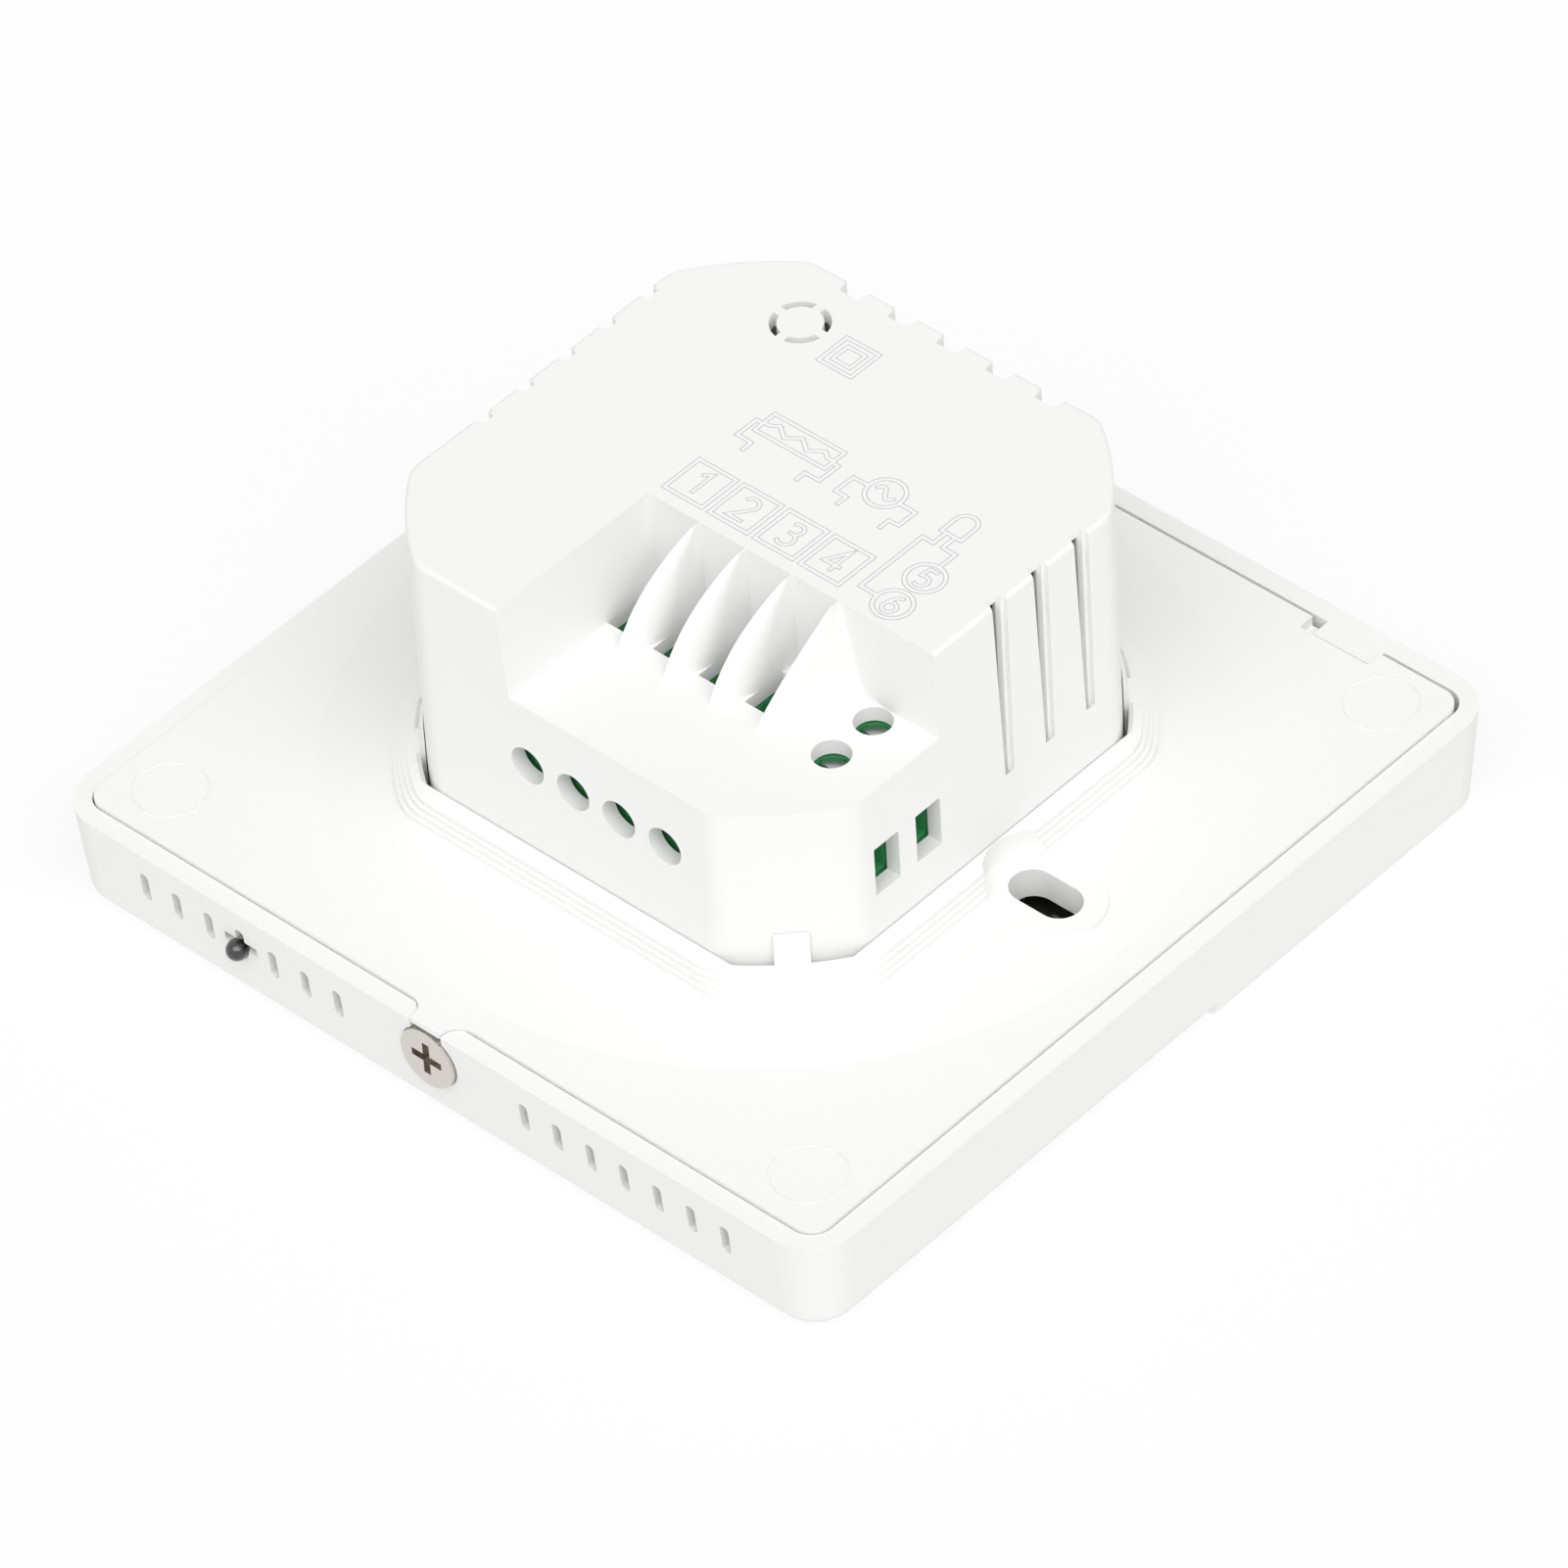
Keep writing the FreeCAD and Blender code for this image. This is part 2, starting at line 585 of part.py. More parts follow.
def front_cover():
    """Front cover: a drafted tray with vents, screw hole, hook lugs and board bosses."""
    low_face = tapered_cover(BROW_STEP)
    brow = tapered_cover(0.0)
    keep = block((-COVER_SIDE, BROW_START_Y, -COVER_SIDE), (COVER_SIDE, COVER_SIDE, COVER_SIDE))
    cover = merged([low_face, brow.common(keep)])
    inner_r = PLATE_CORNER_R
    seat_r = PLATE_CORNER_R + PLATE_SEAM
    cuts = [rounded_slab(COVER_INNER, COVER_INNER, inner_r, FLOOR_TOP, RIM_Z + COVER_WALL_T)]
    cuts.append(rounded_slab(COVER_RECESS, COVER_RECESS, seat_r, PLATE_BOTTOM, RIM_Z + COVER_WALL_T))
    deeper = rounded_slab(COVER_RECESS, COVER_RECESS, seat_r, PLATE_BOTTOM - SWING_DROP, RIM_Z)
    hook_side = block((-COVER_SIDE, SWING_DROP_START_Y, 0), (COVER_SIDE, COVER_SIDE, COVER_SIDE))
    cuts.append(deeper.common(hook_side))
    cuts.append(rounded_slab(GLASS_X / 2 + GLASS_GAP, GLASS_Y / 2 + GLASS_GAP, GLASS_CORNER_R + GLASS_GAP,
                             -GLASS_T, GLASS_T, (0.0, GLASS_MID_Y)))
    cuts.append(grown_display(DISPLAY_GAP, 0, FLOOR_TOP + PAST))
    cuts += [rod(KEY_PAD_R + DISPLAY_GAP, (x, y, 0), FLOOR_TOP + PAST) for x, y in key_places()]
    for i, x in enumerate(vent_places()):
        cuts.append(wall_slot(x, VENT_MID_Z, VENT_W, VENT_H))
        if i == SENSOR_VENT_INDEX:
            cuts.append(wall_slot(-x, CROSS_ARM_Z, VENT_W, CROSS_POST_H))
            arm = block((-x - CROSS_ARM_L / 2, -COVER_SIDE, CROSS_ARM_Z - VENT_W / 2),
                        (-x + CROSS_ARM_L / 2, -COVER_INNER + PAST, CROSS_ARM_Z + VENT_W / 2))
            cuts.append(arm)
        else:
            cuts.append(wall_slot(-x, VENT_MID_Z, VENT_W, VENT_H))
    cuts.append(thermistor_ball(BEAD_R + BEAD_SEAT_GAP))
    cuts.append(screw_sink())
    cuts.append(tongue_slab(TONGUE_GAP, PLATE_TOP - TONGUE_T - TONGUE_GAP, RIM_Z + PAST))
    cuts.append(block((-TONGUE_HALF - TONGUE_GAP, -COVER_SIDE, RIM_Z - NOTCH_DEPTH),
                      (TONGUE_HALF + TONGUE_GAP, -COVER_RECESS + PAST, RIM_Z + PAST)))
    cover = cover.cut(cuts)
    added = []
    for low_x, high_x in hook_spans(LUG_END_GAP, LUG_SIDE_GAP):
        lug_y = HOOK_NOTCH_Y + LUG_EDGE_GAP
        added.append(block((low_x, lug_y, RIM_Z - LUG_T), (high_x, COVER_RECESS + ROOT_BITE, RIM_Z)))
    for x, y in board_corners():
        added.append(rod(BOARD_BOSS_R, (x, y, FLOOR_TOP - ROOT_BITE), BOARD_FRONT_Z - FLOOR_TOP + ROOT_BITE))
    cover = merged([cover] + added)
    bites = [rod(SMALL_SCREW_R, (x, y, BOARD_FRONT_Z - SMALL_SCREW_BITE), SMALL_SCREW_BITE + PAST)
             for x, y in board_corners()]
    return cover.cut(bites)


def screw_sink():
    """Countersunk hole for the cover screw, with running clearance."""
    face_y = wall_face_y(COVER_SCREW_Z)
    head_r = COVER_HEAD_R + COVER_HOLE_GAP
    shaft_r = COVER_SHAFT_R + COVER_HOLE_GAP
    cone_y = face_y - COVER_HEAD_PROUD + COVER_HEAD_BAND
    mouth = rod(head_r, (0, face_y - COVER_WALL_T, COVER_SCREW_Z), cone_y - face_y + COVER_WALL_T, Y_AXIS)
    cone = Part.makeCone(head_r, shaft_r, head_r - shaft_r, V(0, cone_y, COVER_SCREW_Z), Y_AXIS)
    shaft = rod(shaft_r, (0, face_y, COVER_SCREW_Z), 2 * COVER_WALL_T, Y_AXIS)
    return merged([mouth, cone, shaft])


def cover_screw():
    """Countersunk cross-head screw that holds the cover to the plate."""
    face_y = wall_face_y(COVER_SCREW_Z) - COVER_HEAD_PROUD
    slope = COVER_HEAD_R - COVER_SHAFT_R
    band = rod(COVER_HEAD_R, (0, face_y, COVER_SCREW_Z), COVER_HEAD_BAND, Y_AXIS)
    cone_y = face_y + COVER_HEAD_BAND
    cone = Part.makeCone(COVER_HEAD_R, COVER_SHAFT_R, slope, V(0, cone_y, COVER_SCREW_Z), Y_AXIS)
    shaft = rod(COVER_SHAFT_R, (0, cone_y, COVER_SCREW_Z), COVER_SCREW_L - COVER_HEAD_BAND, Y_AXIS)
    towards_out = FreeCAD.Rotation(X_AXIS, 90)
    recess = placed(cross_recess(COVER_RECESS_L, COVER_RECESS_W, COVER_RECESS_DEPTH),
                    (0, face_y, COVER_SCREW_Z), towards_out)
    return merged([band, cone, shaft]).cut(recess)


def touch_lens():
    """Front glass with the display window and the touch keys behind it."""
    return rounded_slab(GLASS_X / 2, GLASS_Y / 2, GLASS_CORNER_R, 0.0, GLASS_T, (0.0, GLASS_MID_Y))


def display_sheet(low_z, high_z):
    """Sheet of the display's size."""
    return block((-DISPLAY_X / 2, DISPLAY_MID_Y - DISPLAY_Y / 2, low_z),
                 (DISPLAY_X / 2, DISPLAY_MID_Y + DISPLAY_Y / 2, high_z))


def grown_display(grow, low_z, high_z):
    """Box around the display, grown or drawn in all round."""
    return block((-DISPLAY_X / 2 - grow, DISPLAY_MID_Y - DISPLAY_Y / 2 - grow, low_z),
                 (DISPLAY_X / 2 + grow, DISPLAY_MID_Y + DISPLAY_Y / 2 + grow, high_z))


def display_frame():
    """Frame between the cover's floor and the board that holds the display and the diffuser."""
    outer = grown_display(FRAME_WALL_T + DISPLAY_GAP, FLOOR_TOP, BOARD_FRONT_Z)
    room = grown_display(DISPLAY_GAP / 2, FLOOR_TOP, DIFFUSER_BACK)
    window = grown_display(-FRAME_LIP, FLOOR_TOP, BOARD_FRONT_Z)
    return outer.cut([room, window])


def backlight_lamps():
    """Six flat lamps on the board behind the diffuser."""
    lamps = []
    for col in (-1, 0, 1):
        for row in (-0.5, 0.5):
            mid = (col * LAMP_PITCH_X, DISPLAY_MID_Y + row * LAMP_PITCH_Y)
            lamps.append(centred(mid, (LAMP_X, LAMP_Y, LAMP_T), BOARD_FRONT_Z - LAMP_T))
    return Part.makeCompound(lamps)


def touch_pads():
    """Springy conductive pads between the board and the glass, one for each key."""
    pads = [rod(KEY_PAD_R, (x, y, GLASS_T), BOARD_FRONT_Z - GLASS_T) for x, y in key_places()]
    return Part.makeCompound(pads)


def header_places():
    """X of each header pin."""
    start = -HEADER_PITCH * (HEADER_COUNT - 1) / 2
    return [start + HEADER_PITCH * i for i in range(HEADER_COUNT)]


def header_pins():
    """Square pins through the strip and the control board."""
    low = BOARD_FRONT_Z - HEADER_PIN_TAIL
    size = (HEADER_PIN_W, HEADER_PIN_W, HEADER_PIN_TOP - low)
    return Part.makeCompound([centred((x, HEADER_MID_Y), size, low) for x in header_places()])


def header_strip():
    """Plastic strip of the pin header."""
    size = (HEADER_PITCH * HEADER_COUNT, HEADER_STRIP_Y, HEADER_STRIP_T)
    return centred((0.0, HEADER_MID_Y), size, BOARD_BACK_Z).cut(header_pins())


def control_board():
    """Control board on the cover's four bosses, with a notch that clears the plate's fork."""
    board = rounded_slab(BOARD_SIDE / 2, BOARD_SIDE / 2, BOARD_CORNER_R, BOARD_FRONT_Z, BOARD_BACK_Z)
    holes = [rod(SMALL_SCREW_R + SMALL_HOLE_GAP, (x, y, 0), PLATE_TOP) for x, y in board_corners()]
    notch_half = FORK_HALF + FORK_BOARD_GAP
    notch_end = FORK_OUTER_Y + FORK_T + FORK_BOARD_GAP
    notch = block((-notch_half, -COVER_HALF, 0), (notch_half, notch_end, PLATE_TOP))
    return board.cut(holes + [header_pins(), notch])


def small_screw(x, y, seat_z, towards):
    """Pan-head screw whose head rests on seat_z; towards is the way the head points, +1 or -1 in Z."""
    head = rod(SMALL_HEAD_R, (0, 0, 0), SMALL_HEAD_T)
    head = head.makeFillet(SMALL_HEAD_T / 2, [e for e in head.Edges if e.BoundBox.ZMin > SMALL_HEAD_T / 2])
    length = SMALL_SCREW_BITE + BOARD_T
    shaft = rod(SMALL_SCREW_R, (0, 0, SMALL_TIP_GAP - length), length)
    recess = placed(cross_recess(SMALL_RECESS_L, SMALL_RECESS_W, SMALL_HEAD_T / 2), (0, 0, SMALL_HEAD_T))
    screw = merged([head, shaft]).cut(recess)
    turn = FreeCAD.Rotation(X_AXIS, 0 if towards > 0 else 180)
    return placed(screw, (x, y, seat_z), turn)


def board_screws():
    """Four screws that hold the control board to the cover."""
    return Part.makeCompound([small_screw(x, y, BOARD_BACK_Z, 1) for x, y in board_corners()])


def thermistor_ball(radius):
    """Ball at the room sensor's place in front of the cross-shaped opening."""
    bead_y = wall_face_y(BEAD_Z) - BEAD_OUT
    return Part.makeSphere(radius, V(-vent_places()[SENSOR_VENT_INDEX] - LEAD_GAP / 2, bead_y, BEAD_Z))


def thermistor_bead():
    """Glass bead of the room sensor."""
    return thermistor_ball(BEAD_R)


def thermistor_leads():
    """Two bare leads from the bead, through the opening and down to the board."""
    bead = thermistor_bead()
    leads = []
    start_y = wall_face_y(BEAD_Z)
    pad_z = BOARD_BACK_Z + LEAD_R
    edge_y = -BOARD_SIDE / 2
    for side in (-0.5, 0.5):
        x = bead.BoundBox.Center.x + side * LEAD_GAP
        points = [V(x, start_y, LEAD_Z), V(x, edge_y - LEAD_RUN, LEAD_Z)]
        points += [V(x, edge_y + LEAD_EDGE_IN, pad_z), V(x, edge_y + LEAD_RUN, pad_z)]
        pieces = [Part.makeSphere(LEAD_R, p) for p in points]
        for a, b in zip(points, points[1:]):
            pieces.append(Part.makeCylinder(LEAD_R, (b - a).Length, a, b - a))
        leads.append(merged(pieces).cut(bead))
    return Part.makeCompound(leads)


def mounting_plate():
    """Plate that is fixed to the wall: apron, collar, slots, hook notches, tongue and fork."""
    half_y = (PLATE_HOOK_EDGE_Y - PLATE_EDGE_Y) / 2
    mid_y = (PLATE_HOOK_EDGE_Y + PLATE_EDGE_Y) / 2
    pieces = [rounded_slab(PLATE_HALF, half_y, PLATE_CORNER_R, PLATE_BOTTOM, PLATE_TOP, (0.0, mid_y))]
    pieces.append(Part.makeCone(APRON_FOOT_R, APRON_TOP_R, APRON_RISE, V(0, 0, PLATE_TOP)))
    for i in range(COLLAR_STEPS):
        top = APRON_TOP + COLLAR_H * (i + 1) / COLLAR_STEPS
        step = squared_slab(COLLAR_HALF - COLLAR_STEP_IN * i, COLLAR_R - COLLAR_CORNER_STEP_IN * i, PLATE_TOP, top)
        uprights = [e for e in step.Edges if e.BoundBox.ZLength > FLAT]
        pieces.append(step.makeFillet(COLLAR_BLEND_R, uprights))
    pieces.append(tongue_slab(0.0, PLATE_TOP - TONGUE_T, PLATE_TOP))
    pieces.append(fork())
    slot_mids = [(side * SLOT_SPACING / 2, 0.0) for side in (-1, 1)]
    pieces += [stadium(mid, SLOT_RECESS_L, SLOT_RECESS_W, PLATE_BOTTOM, SLOT_FLOOR) for mid in slot_mids]
    plate = merged(pieces)
    high = COLLAR_TOP + PAST
    cuts = [squared_slab(CASING_HALF + COLLAR_FIT, COLLAR_SLIT_R, PLATE_BOTTOM - PAST, high)]
    bevel = [squared_wire(CASING_HALF + COLLAR_FIT, COLLAR_SLIT_R + grow, z)
             for grow, z in ((0.0, COLLAR_TOP - COLLAR_BEVEL), (COLLAR_BEVEL, COLLAR_TOP))]
    cuts.append(Part.makeLoft(bevel, True, True))
    for mid in slot_mids:
        cuts.append(stadium(mid, SLOT_L, SLOT_W, PLATE_BOTTOM - PAST, high))
        cuts.append(stadium(mid, SLOT_RECESS_L, SLOT_RECESS_W, SLOT_FLOOR, high))
    for low_x, high_x in hook_spans(0.0, 0.0):
        cuts.append(block((low_x, HOOK_NOTCH_Y, RIM_Z - LUG_T - LUG_LIFT_GAP), (high_x, COVER_SIDE, high)))
    for sx in (-1, 1):
        for sy in (-1, 1):
            mid = (sx * RING_AT, sy * RING_AT, PLATE_TOP - RING_DEPTH)
            cuts.append(rod(RING_R, mid, PAST).cut(rod(RING_R - RING_W, mid, PAST)))
    plate = plate.cut(cuts)
    turns = [FreeCAD.Rotation(Z_AXIS, 45 + 90 * quarter) for quarter in range(4)]
    return merged([plate] + [placed(corner_finger(), (0, 0, 0), turn) for turn in turns])


def corner_finger():
    """Tab that bridges the slit at a casing corner and runs up the corner as a thin finger, on the X axis."""
    inner = CASING_R + COLLAR_FIT / 2
    root = COLLAR_SLIT_R + TAB_SEAT
    tip_z = COLLAR_TOP + FINGER_H
    profile = [(inner, PLATE_BOTTOM), (root, PLATE_BOTTOM), (root, COLLAR_TOP)]
    profile += [(inner + FINGER_ROOT_T, COLLAR_TOP), (inner + FINGER_TIP_T, tip_z), (inner, tip_z)]
    corners = [V(x, -TAB_W / 2, z) for x, z in profile]
    return Part.Face(Part.makePolygon(corners + corners[:1])).extrude(V(0, TAB_W, 0))


def fork():
    """Lug under the plate that the cover screw's shaft passes, open towards the front."""
    low_z = COVER_SCREW_Z - FORK_BELOW
    inner_y = FORK_OUTER_Y + FORK_T
    lug = block((-FORK_HALF, FORK_OUTER_Y, low_z), (FORK_HALF, inner_y, PLATE_BOTTOM))
    slot_r = COVER_SHAFT_R + FORK_SLOT_GAP
    crown = rod(slot_r, (0, FORK_OUTER_Y - PAST, COVER_SCREW_Z), FORK_T + 2 * PAST, Y_AXIS)
    throat = block((-slot_r, FORK_OUTER_Y - PAST, low_z - PAST), (slot_r, inner_y + PAST, COVER_SCREW_Z))
    return lug.cut([crown, throat])


def step_room(grow):
    """Space cut from the casing above the shelf, grown into the casing by a wall."""
    low_z = SHELF_Z - grow
    left = STEP_LEFT_X - grow
    top_z = CASING_TOP_Z + grow
    slope = STEP_LEFT_LEAN / (CASING_TOP_Z - SHELF_Z)
    top_left = left - slope * (top_z - low_z)
    points = [V(left, 0, low_z), V(COVER_SIDE, 0, low_z), V(COVER_SIDE, 0, top_z), V(top_left, 0, top_z)]
    face = Part.Face(Part.makePolygon(points + points[:1]))
    room = face.extrude(V(0, -COVER_SIDE, 0))
    room.translate(V(0, STEP_WALL_Y + grow, 0))
    return room


def scoop_profile(x):
    """Side view of a ridge between two scoops, at X x."""
    top_in = V(x, STEP_WALL_Y + ROOT_BITE, CASING_TOP_Z)
    top_out = V(x, SCOOP_TOP_Y, CASING_TOP_Z)
    foot_out = V(x, STEP_WALL_Y - SCOOP_FOOT_OUT, SHELF_Z)
    foot_in = V(x, STEP_WALL_Y + ROOT_BITE, SHELF_Z)
    curve = Part.Arc(top_out, V(x, STEP_WALL_Y - SCOOP_MID_OUT, SHELF_Z + SCOOP_MID_RISE), foot_out).toShape()
    sides = [Part.LineSegment(top_in, top_out).toShape(), curve]
    sides.append(Part.LineSegment(foot_out, foot_in).toShape())
    sides.append(Part.LineSegment(foot_in, top_in).toShape())
    return Part.Face(Part.Wire(sides))


def flank_cut(left_foot, lean):
    """Room beside a ridge's left flank, which rises steeply from its foot and then bows over to its crest."""
    foot = V(left_foot, 0, SHELF_Z)
    middle = V(left_foot + SCOOP_FLANK_SHARE * lean, 0, (SHELF_Z + CASING_TOP_Z) / 2)
    crest = V(left_foot + lean, 0, CASING_TOP_Z)
    corner = V(left_foot, 0, CASING_TOP_Z)
    edges = [Part.Arc(foot, middle, crest).toShape()]
    edges.append(Part.LineSegment(crest, corner).toShape())
    edges.append(Part.LineSegment(corner, foot).toShape())
    return Part.Face(Part.Wire(edges)).extrude(V(0, -COVER_SIDE, 0))


def bow_at(foot, middle, crest, z):
    """Place along the first axis, at height z, of the circle through three (place, height) points."""
    chord = math.hypot(crest[0] - foot[0], crest[1] - foot[1])
    along = ((crest[0] - foot[0]) / chord, (crest[1] - foot[1]) / chord)
    across = (along[1], -along[0])
    mid_x = (foot[0] + crest[0]) / 2
    mid_z = (foot[1] + crest[1]) / 2
    u = (middle[0] - mid_x) * along[0] + (middle[1] - mid_z) * along[1]
    v = (middle[0] - mid_x) * across[0] + (middle[1] - mid_z) * across[1]
    drop = (chord ** 2 / 4 - u ** 2 - v ** 2) / (2 * v)
    centre = (mid_x - drop * across[0], mid_z - drop * across[1])
    radius = math.hypot(chord / 2, drop)
    reach = math.sqrt(max(radius ** 2 - (z - centre[1]) ** 2, 0.0))
    return centre[0] + math.copysign(reach, middle[0] - centre[0])


def ridge_section(left_foot, z):
    """Outline of a ridge at a height: its nose turns from the front into the upright right flank."""
    width = POLE_PITCH - WIRE_W
    lean = width - SCOOP_BLADE_T
    flank_mid = (left_foot + SCOOP_FLANK_SHARE * lean, (SHELF_Z + CASING_TOP_Z) / 2)
    left = bow_at((left_foot, SHELF_Z), flank_mid, (left_foot + lean, CASING_TOP_Z), z)
    foot = (STEP_WALL_Y - SCOOP_FOOT_OUT, SHELF_Z)
    middle = (STEP_WALL_Y - SCOOP_MID_OUT, SHELF_Z + SCOOP_MID_RISE)
    front = bow_at(foot, middle, (SCOOP_TOP_Y, CASING_TOP_Z), z)
    right = left_foot + width
    nose = SCOOP_NOSE_SHARE * (STEP_WALL_Y - front)
    radius = ((right - left) ** 2 + nose ** 2) / (2 * (right - left))
    halfway = math.asin(nose / radius) / 2
    rounded = V(right - radius * (1 - math.cos(halfway)), front + nose - radius * math.sin(halfway), z)
    back = STEP_WALL_Y + ROOT_BITE
    edges = [Part.LineSegment(V(left, back, z), V(left, front, z)).toShape()]
    edges.append(Part.Arc(V(left, front, z), rounded, V(right, front + nose, z)).toShape())
    edges.append(Part.LineSegment(V(right, front + nose, z), V(right, back, z)).toShape())
    edges.append(Part.LineSegment(V(right, back, z), V(left, back, z)).toShape())
    return Part.Wire(edges)


def ridge(index):
    """Ridge on the far side of one wire opening: upright on its right, leaning on its left, round in front."""
    left_foot = POWER_XS[index] + WIRE_W / 2
    rise = (CASING_TOP_Z - SHELF_Z) / (SCOOP_SECTIONS - 1)
    sections = [ridge_section(left_foot, SHELF_Z + rise * i) for i in range(SCOOP_SECTIONS)]
    return Part.makeLoft(sections, True, False)


def last_ridge():
    """Last ridge: the same crest, with a broad flank that runs out on the shelf beside the sensor screws."""
    left = POWER_XS[-1] + WIRE_W / 2
    width = POLE_PITCH - WIRE_W
    blade = left + width
    middle = blade - SCOOP_BLADE_T / 2
    back = STEP_WALL_Y + ROOT_BITE
    feet = [(left + dx, STEP_WALL_Y - out) for dx, out in LAST_FLANK_FOOT]
    low = [(left, back)] + feet + [(feet[-1][0], back)]
    high = [(left, back), (left, SCOOP_TOP_Y), (middle, SCOOP_TOP_Y)]
    high += [(blade, SCOOP_TOP_Y), (blade, STEP_WALL_Y), (blade, back)]
    wires = []
    for points, z in ((low, SHELF_Z), (high, CASING_TOP_Z)):
        corners = [V(x, y, z) for x, y in points]
        wires.append(Part.makePolygon(corners + corners[:1]))
    flank = Part.makeLoft(wires, True, True)
    form = scoop_profile(left).extrude(V(feet[-1][0] - left, 0, 0)).common(flank)
    return form.cut(flank_cut(left, width - SCOOP_BLADE_T))


def louvre_section(points, z):
    """Flat outline across a louvre at a height, falling inwards like its sill."""
    corners = [V(x, y, z + LOUVRE_SILL_SLOPE * x) for x, y in points]
    return Part.makePolygon(corners + corners[:1])


def louvre(width, depth):
    """Cut for one louvre in a wall whose outer face is at X 0 and which lies towards -X, starting at Y 0."""
    ledge_y = width - LOUVRE_STEP_W
    floor_end = ledge_y - LOUVRE_RIGHT_LEAN
    inside = -CASING_WALL_T - PAST
    grooves = []
    slits = []
    for z, start in ((LOUVRE_LOW_Z, LOUVRE_DRAFT), (CASING_TOP_Z + PAST, 0.0)):
        floor_start = start + LOUVRE_LEFT_LEAN
        points = [(PAST, start), (0, start), (-depth, floor_start), (-depth, floor_end)]
        points += [(-LOUVRE_STEP_DEPTH, ledge_y), (-LOUVRE_STEP_DEPTH, width), (PAST, width)]
        grooves.append(louvre_section(points, z))
        relieved = floor_end + LOUVRE_SLIT_RELIEF
        slit = [(inside, floor_start), (inside, relieved), (-depth, relieved), (-depth, floor_start)]
        slits.append(louvre_section(slit, z))
    groove = Part.makeLoft(grooves, True, True)
    slit = Part.makeLoft(slits, True, True)
    below_top = block((-COVER_SIDE, -COVER_SIDE, 0), (COVER_SIDE, COVER_SIDE, LOUVRE_SLIT_TOP_Z))
    return merged([groove, slit.common(below_top)])


def louvre_cuts():
    """All louvres of the casing's three walls; the far wall mirrors the near one."""
    cuts = []
    side = louvre(SIDE_LOUVRE_W, SIDE_LOUVRE_DEPTH)
    for i in range(SIDE_LOUVRES):
        cuts.append(placed(side, (CASING_HALF, SIDE_LOUVRE_FIRST_Y + SIDE_LOUVRE_PITCH * i, 0)))
    far = louvre(FAR_LOUVRE_W, SIDE_LOUVRE_DEPTH).mirror(V(0, 0, 0), X_AXIS)
    for i in range(FAR_LOUVRES):
        cuts.append(placed(far, (-CASING_HALF, FAR_LOUVRE_FIRST_Y + SIDE_LOUVRE_PITCH * i, 0)))
    back = louvre(BACK_LOUVRE_W, BACK_LOUVRE_DEPTH)
    for i in range(BACK_LOUVRES):
        x = BACK_LOUVRE_FIRST_X + BACK_LOUVRE_PITCH * i + BACK_LOUVRE_W
        cuts.append(placed(back, (x, CASING_HALF, 0), FreeCAD.Rotation(Z_AXIS, 90)))
    return cuts


def disc_cut():
    """Ring-shaped cut round the knock-out disc, broken by its webs."""
    low = ROOF_UNDER - PAST
    high = CASING_TOP_Z + PAST
    ring = rod(DISC_RING_R, (0, 0, low), high - low).cut(rod(DISC_R, (0, 0, low), high - low))
    webs = []
    for i in range(DISC_WEBS):
        web = block((0, -DISC_WEB_W / 2, low), (DISC_RING_R + PAST, DISC_WEB_W / 2, high))
        webs.append(placed(web, (0, 0, 0), FreeCAD.Rotation(Z_AXIS, 360 / DISC_WEBS * i)))
    return placed(ring.cut(webs), (DISC_X, DISC_Y, 0))


def rear_casing():
    """Deep casing that goes into the wall box, open to the front and caught under the plate by its flange."""
    outer = squared_slab(CASING_HALF, CASING_R, PLATE_BOTTOM, CASING_TOP_Z)
    uprights = [e for e in outer.Edges if e.BoundBox.ZLength > FLAT]
    outer = outer.makeFillet(CASING_BLEND_R, uprights)
    rim = [e for e in outer.Edges if e.BoundBox.ZMin > CASING_TOP_Z - FLAT]
    outer = outer.makeFillet(CASING_EDGE_R, rim)
    flange = squared_slab(CASING_HALF + FLANGE_OUT, FLANGE_R, PLATE_BOTTOM - FLANGE_T, PLATE_BOTTOM)
    casing = merged([outer, flange]).cut(step_room(0.0))
    hollow = squared_slab(CASING_INNER, CASING_INNER_R, PLATE_BOTTOM - FLANGE_T - PAST, ROOF_UNDER)
    hollow = hollow.cut(step_room(CASING_WALL_T))
    casing = casing.cut(hollow)
    ridges = [ridge(i) for i in range(POWER_POLES - 1)]
    casing = merged([casing, last_ridge()] + ridges)
    post_h = ROOF_UNDER - POWER_BOARD_TOP + ROOT_BITE
    posts = [rod(POST_R, (x, y, POWER_BOARD_TOP), post_h) for x, y in POST_AT]
    casing = merged([casing] + posts)
    cuts = louvre_cuts()
    cuts.append(disc_cut())
    through = CASING_WALL_T + 2 * PAST
    for x in POWER_XS:
        cuts.append(rod(DRIVER_HOLE_R, (x, -CASING_HALF - PAST, POWER_SCREW_Z), through, Y_AXIS))
        cuts.append(block((x - WIRE_W / 2, POWER_WIRE_Y, SHELF_UNDER - PAST),
                          (x + WIRE_W / 2, POWER_WIRE_Y + WIRE_L, SHELF_Z + PAST)))
    for y in SENSOR_YS:
        cuts.append(rod(SENSOR_HOLE_R, (SENSOR_X, y, SHELF_UNDER - PAST), through))
        cuts.append(block((CASING_INNER - PAST, y - WIRE_W / 2, SIDE_WIRE_LOW),
                          (CASING_HALF + PAST, y + WIRE_W / 2, SIDE_WIRE_LOW + SIDE_WIRE_H)))
    for x, y in POST_AT:
        cuts.append(rod(SMALL_SCREW_R, (x, y, POWER_BOARD_TOP - PAST), SMALL_SCREW_BITE + PAST))
    return casing.cut(cuts)


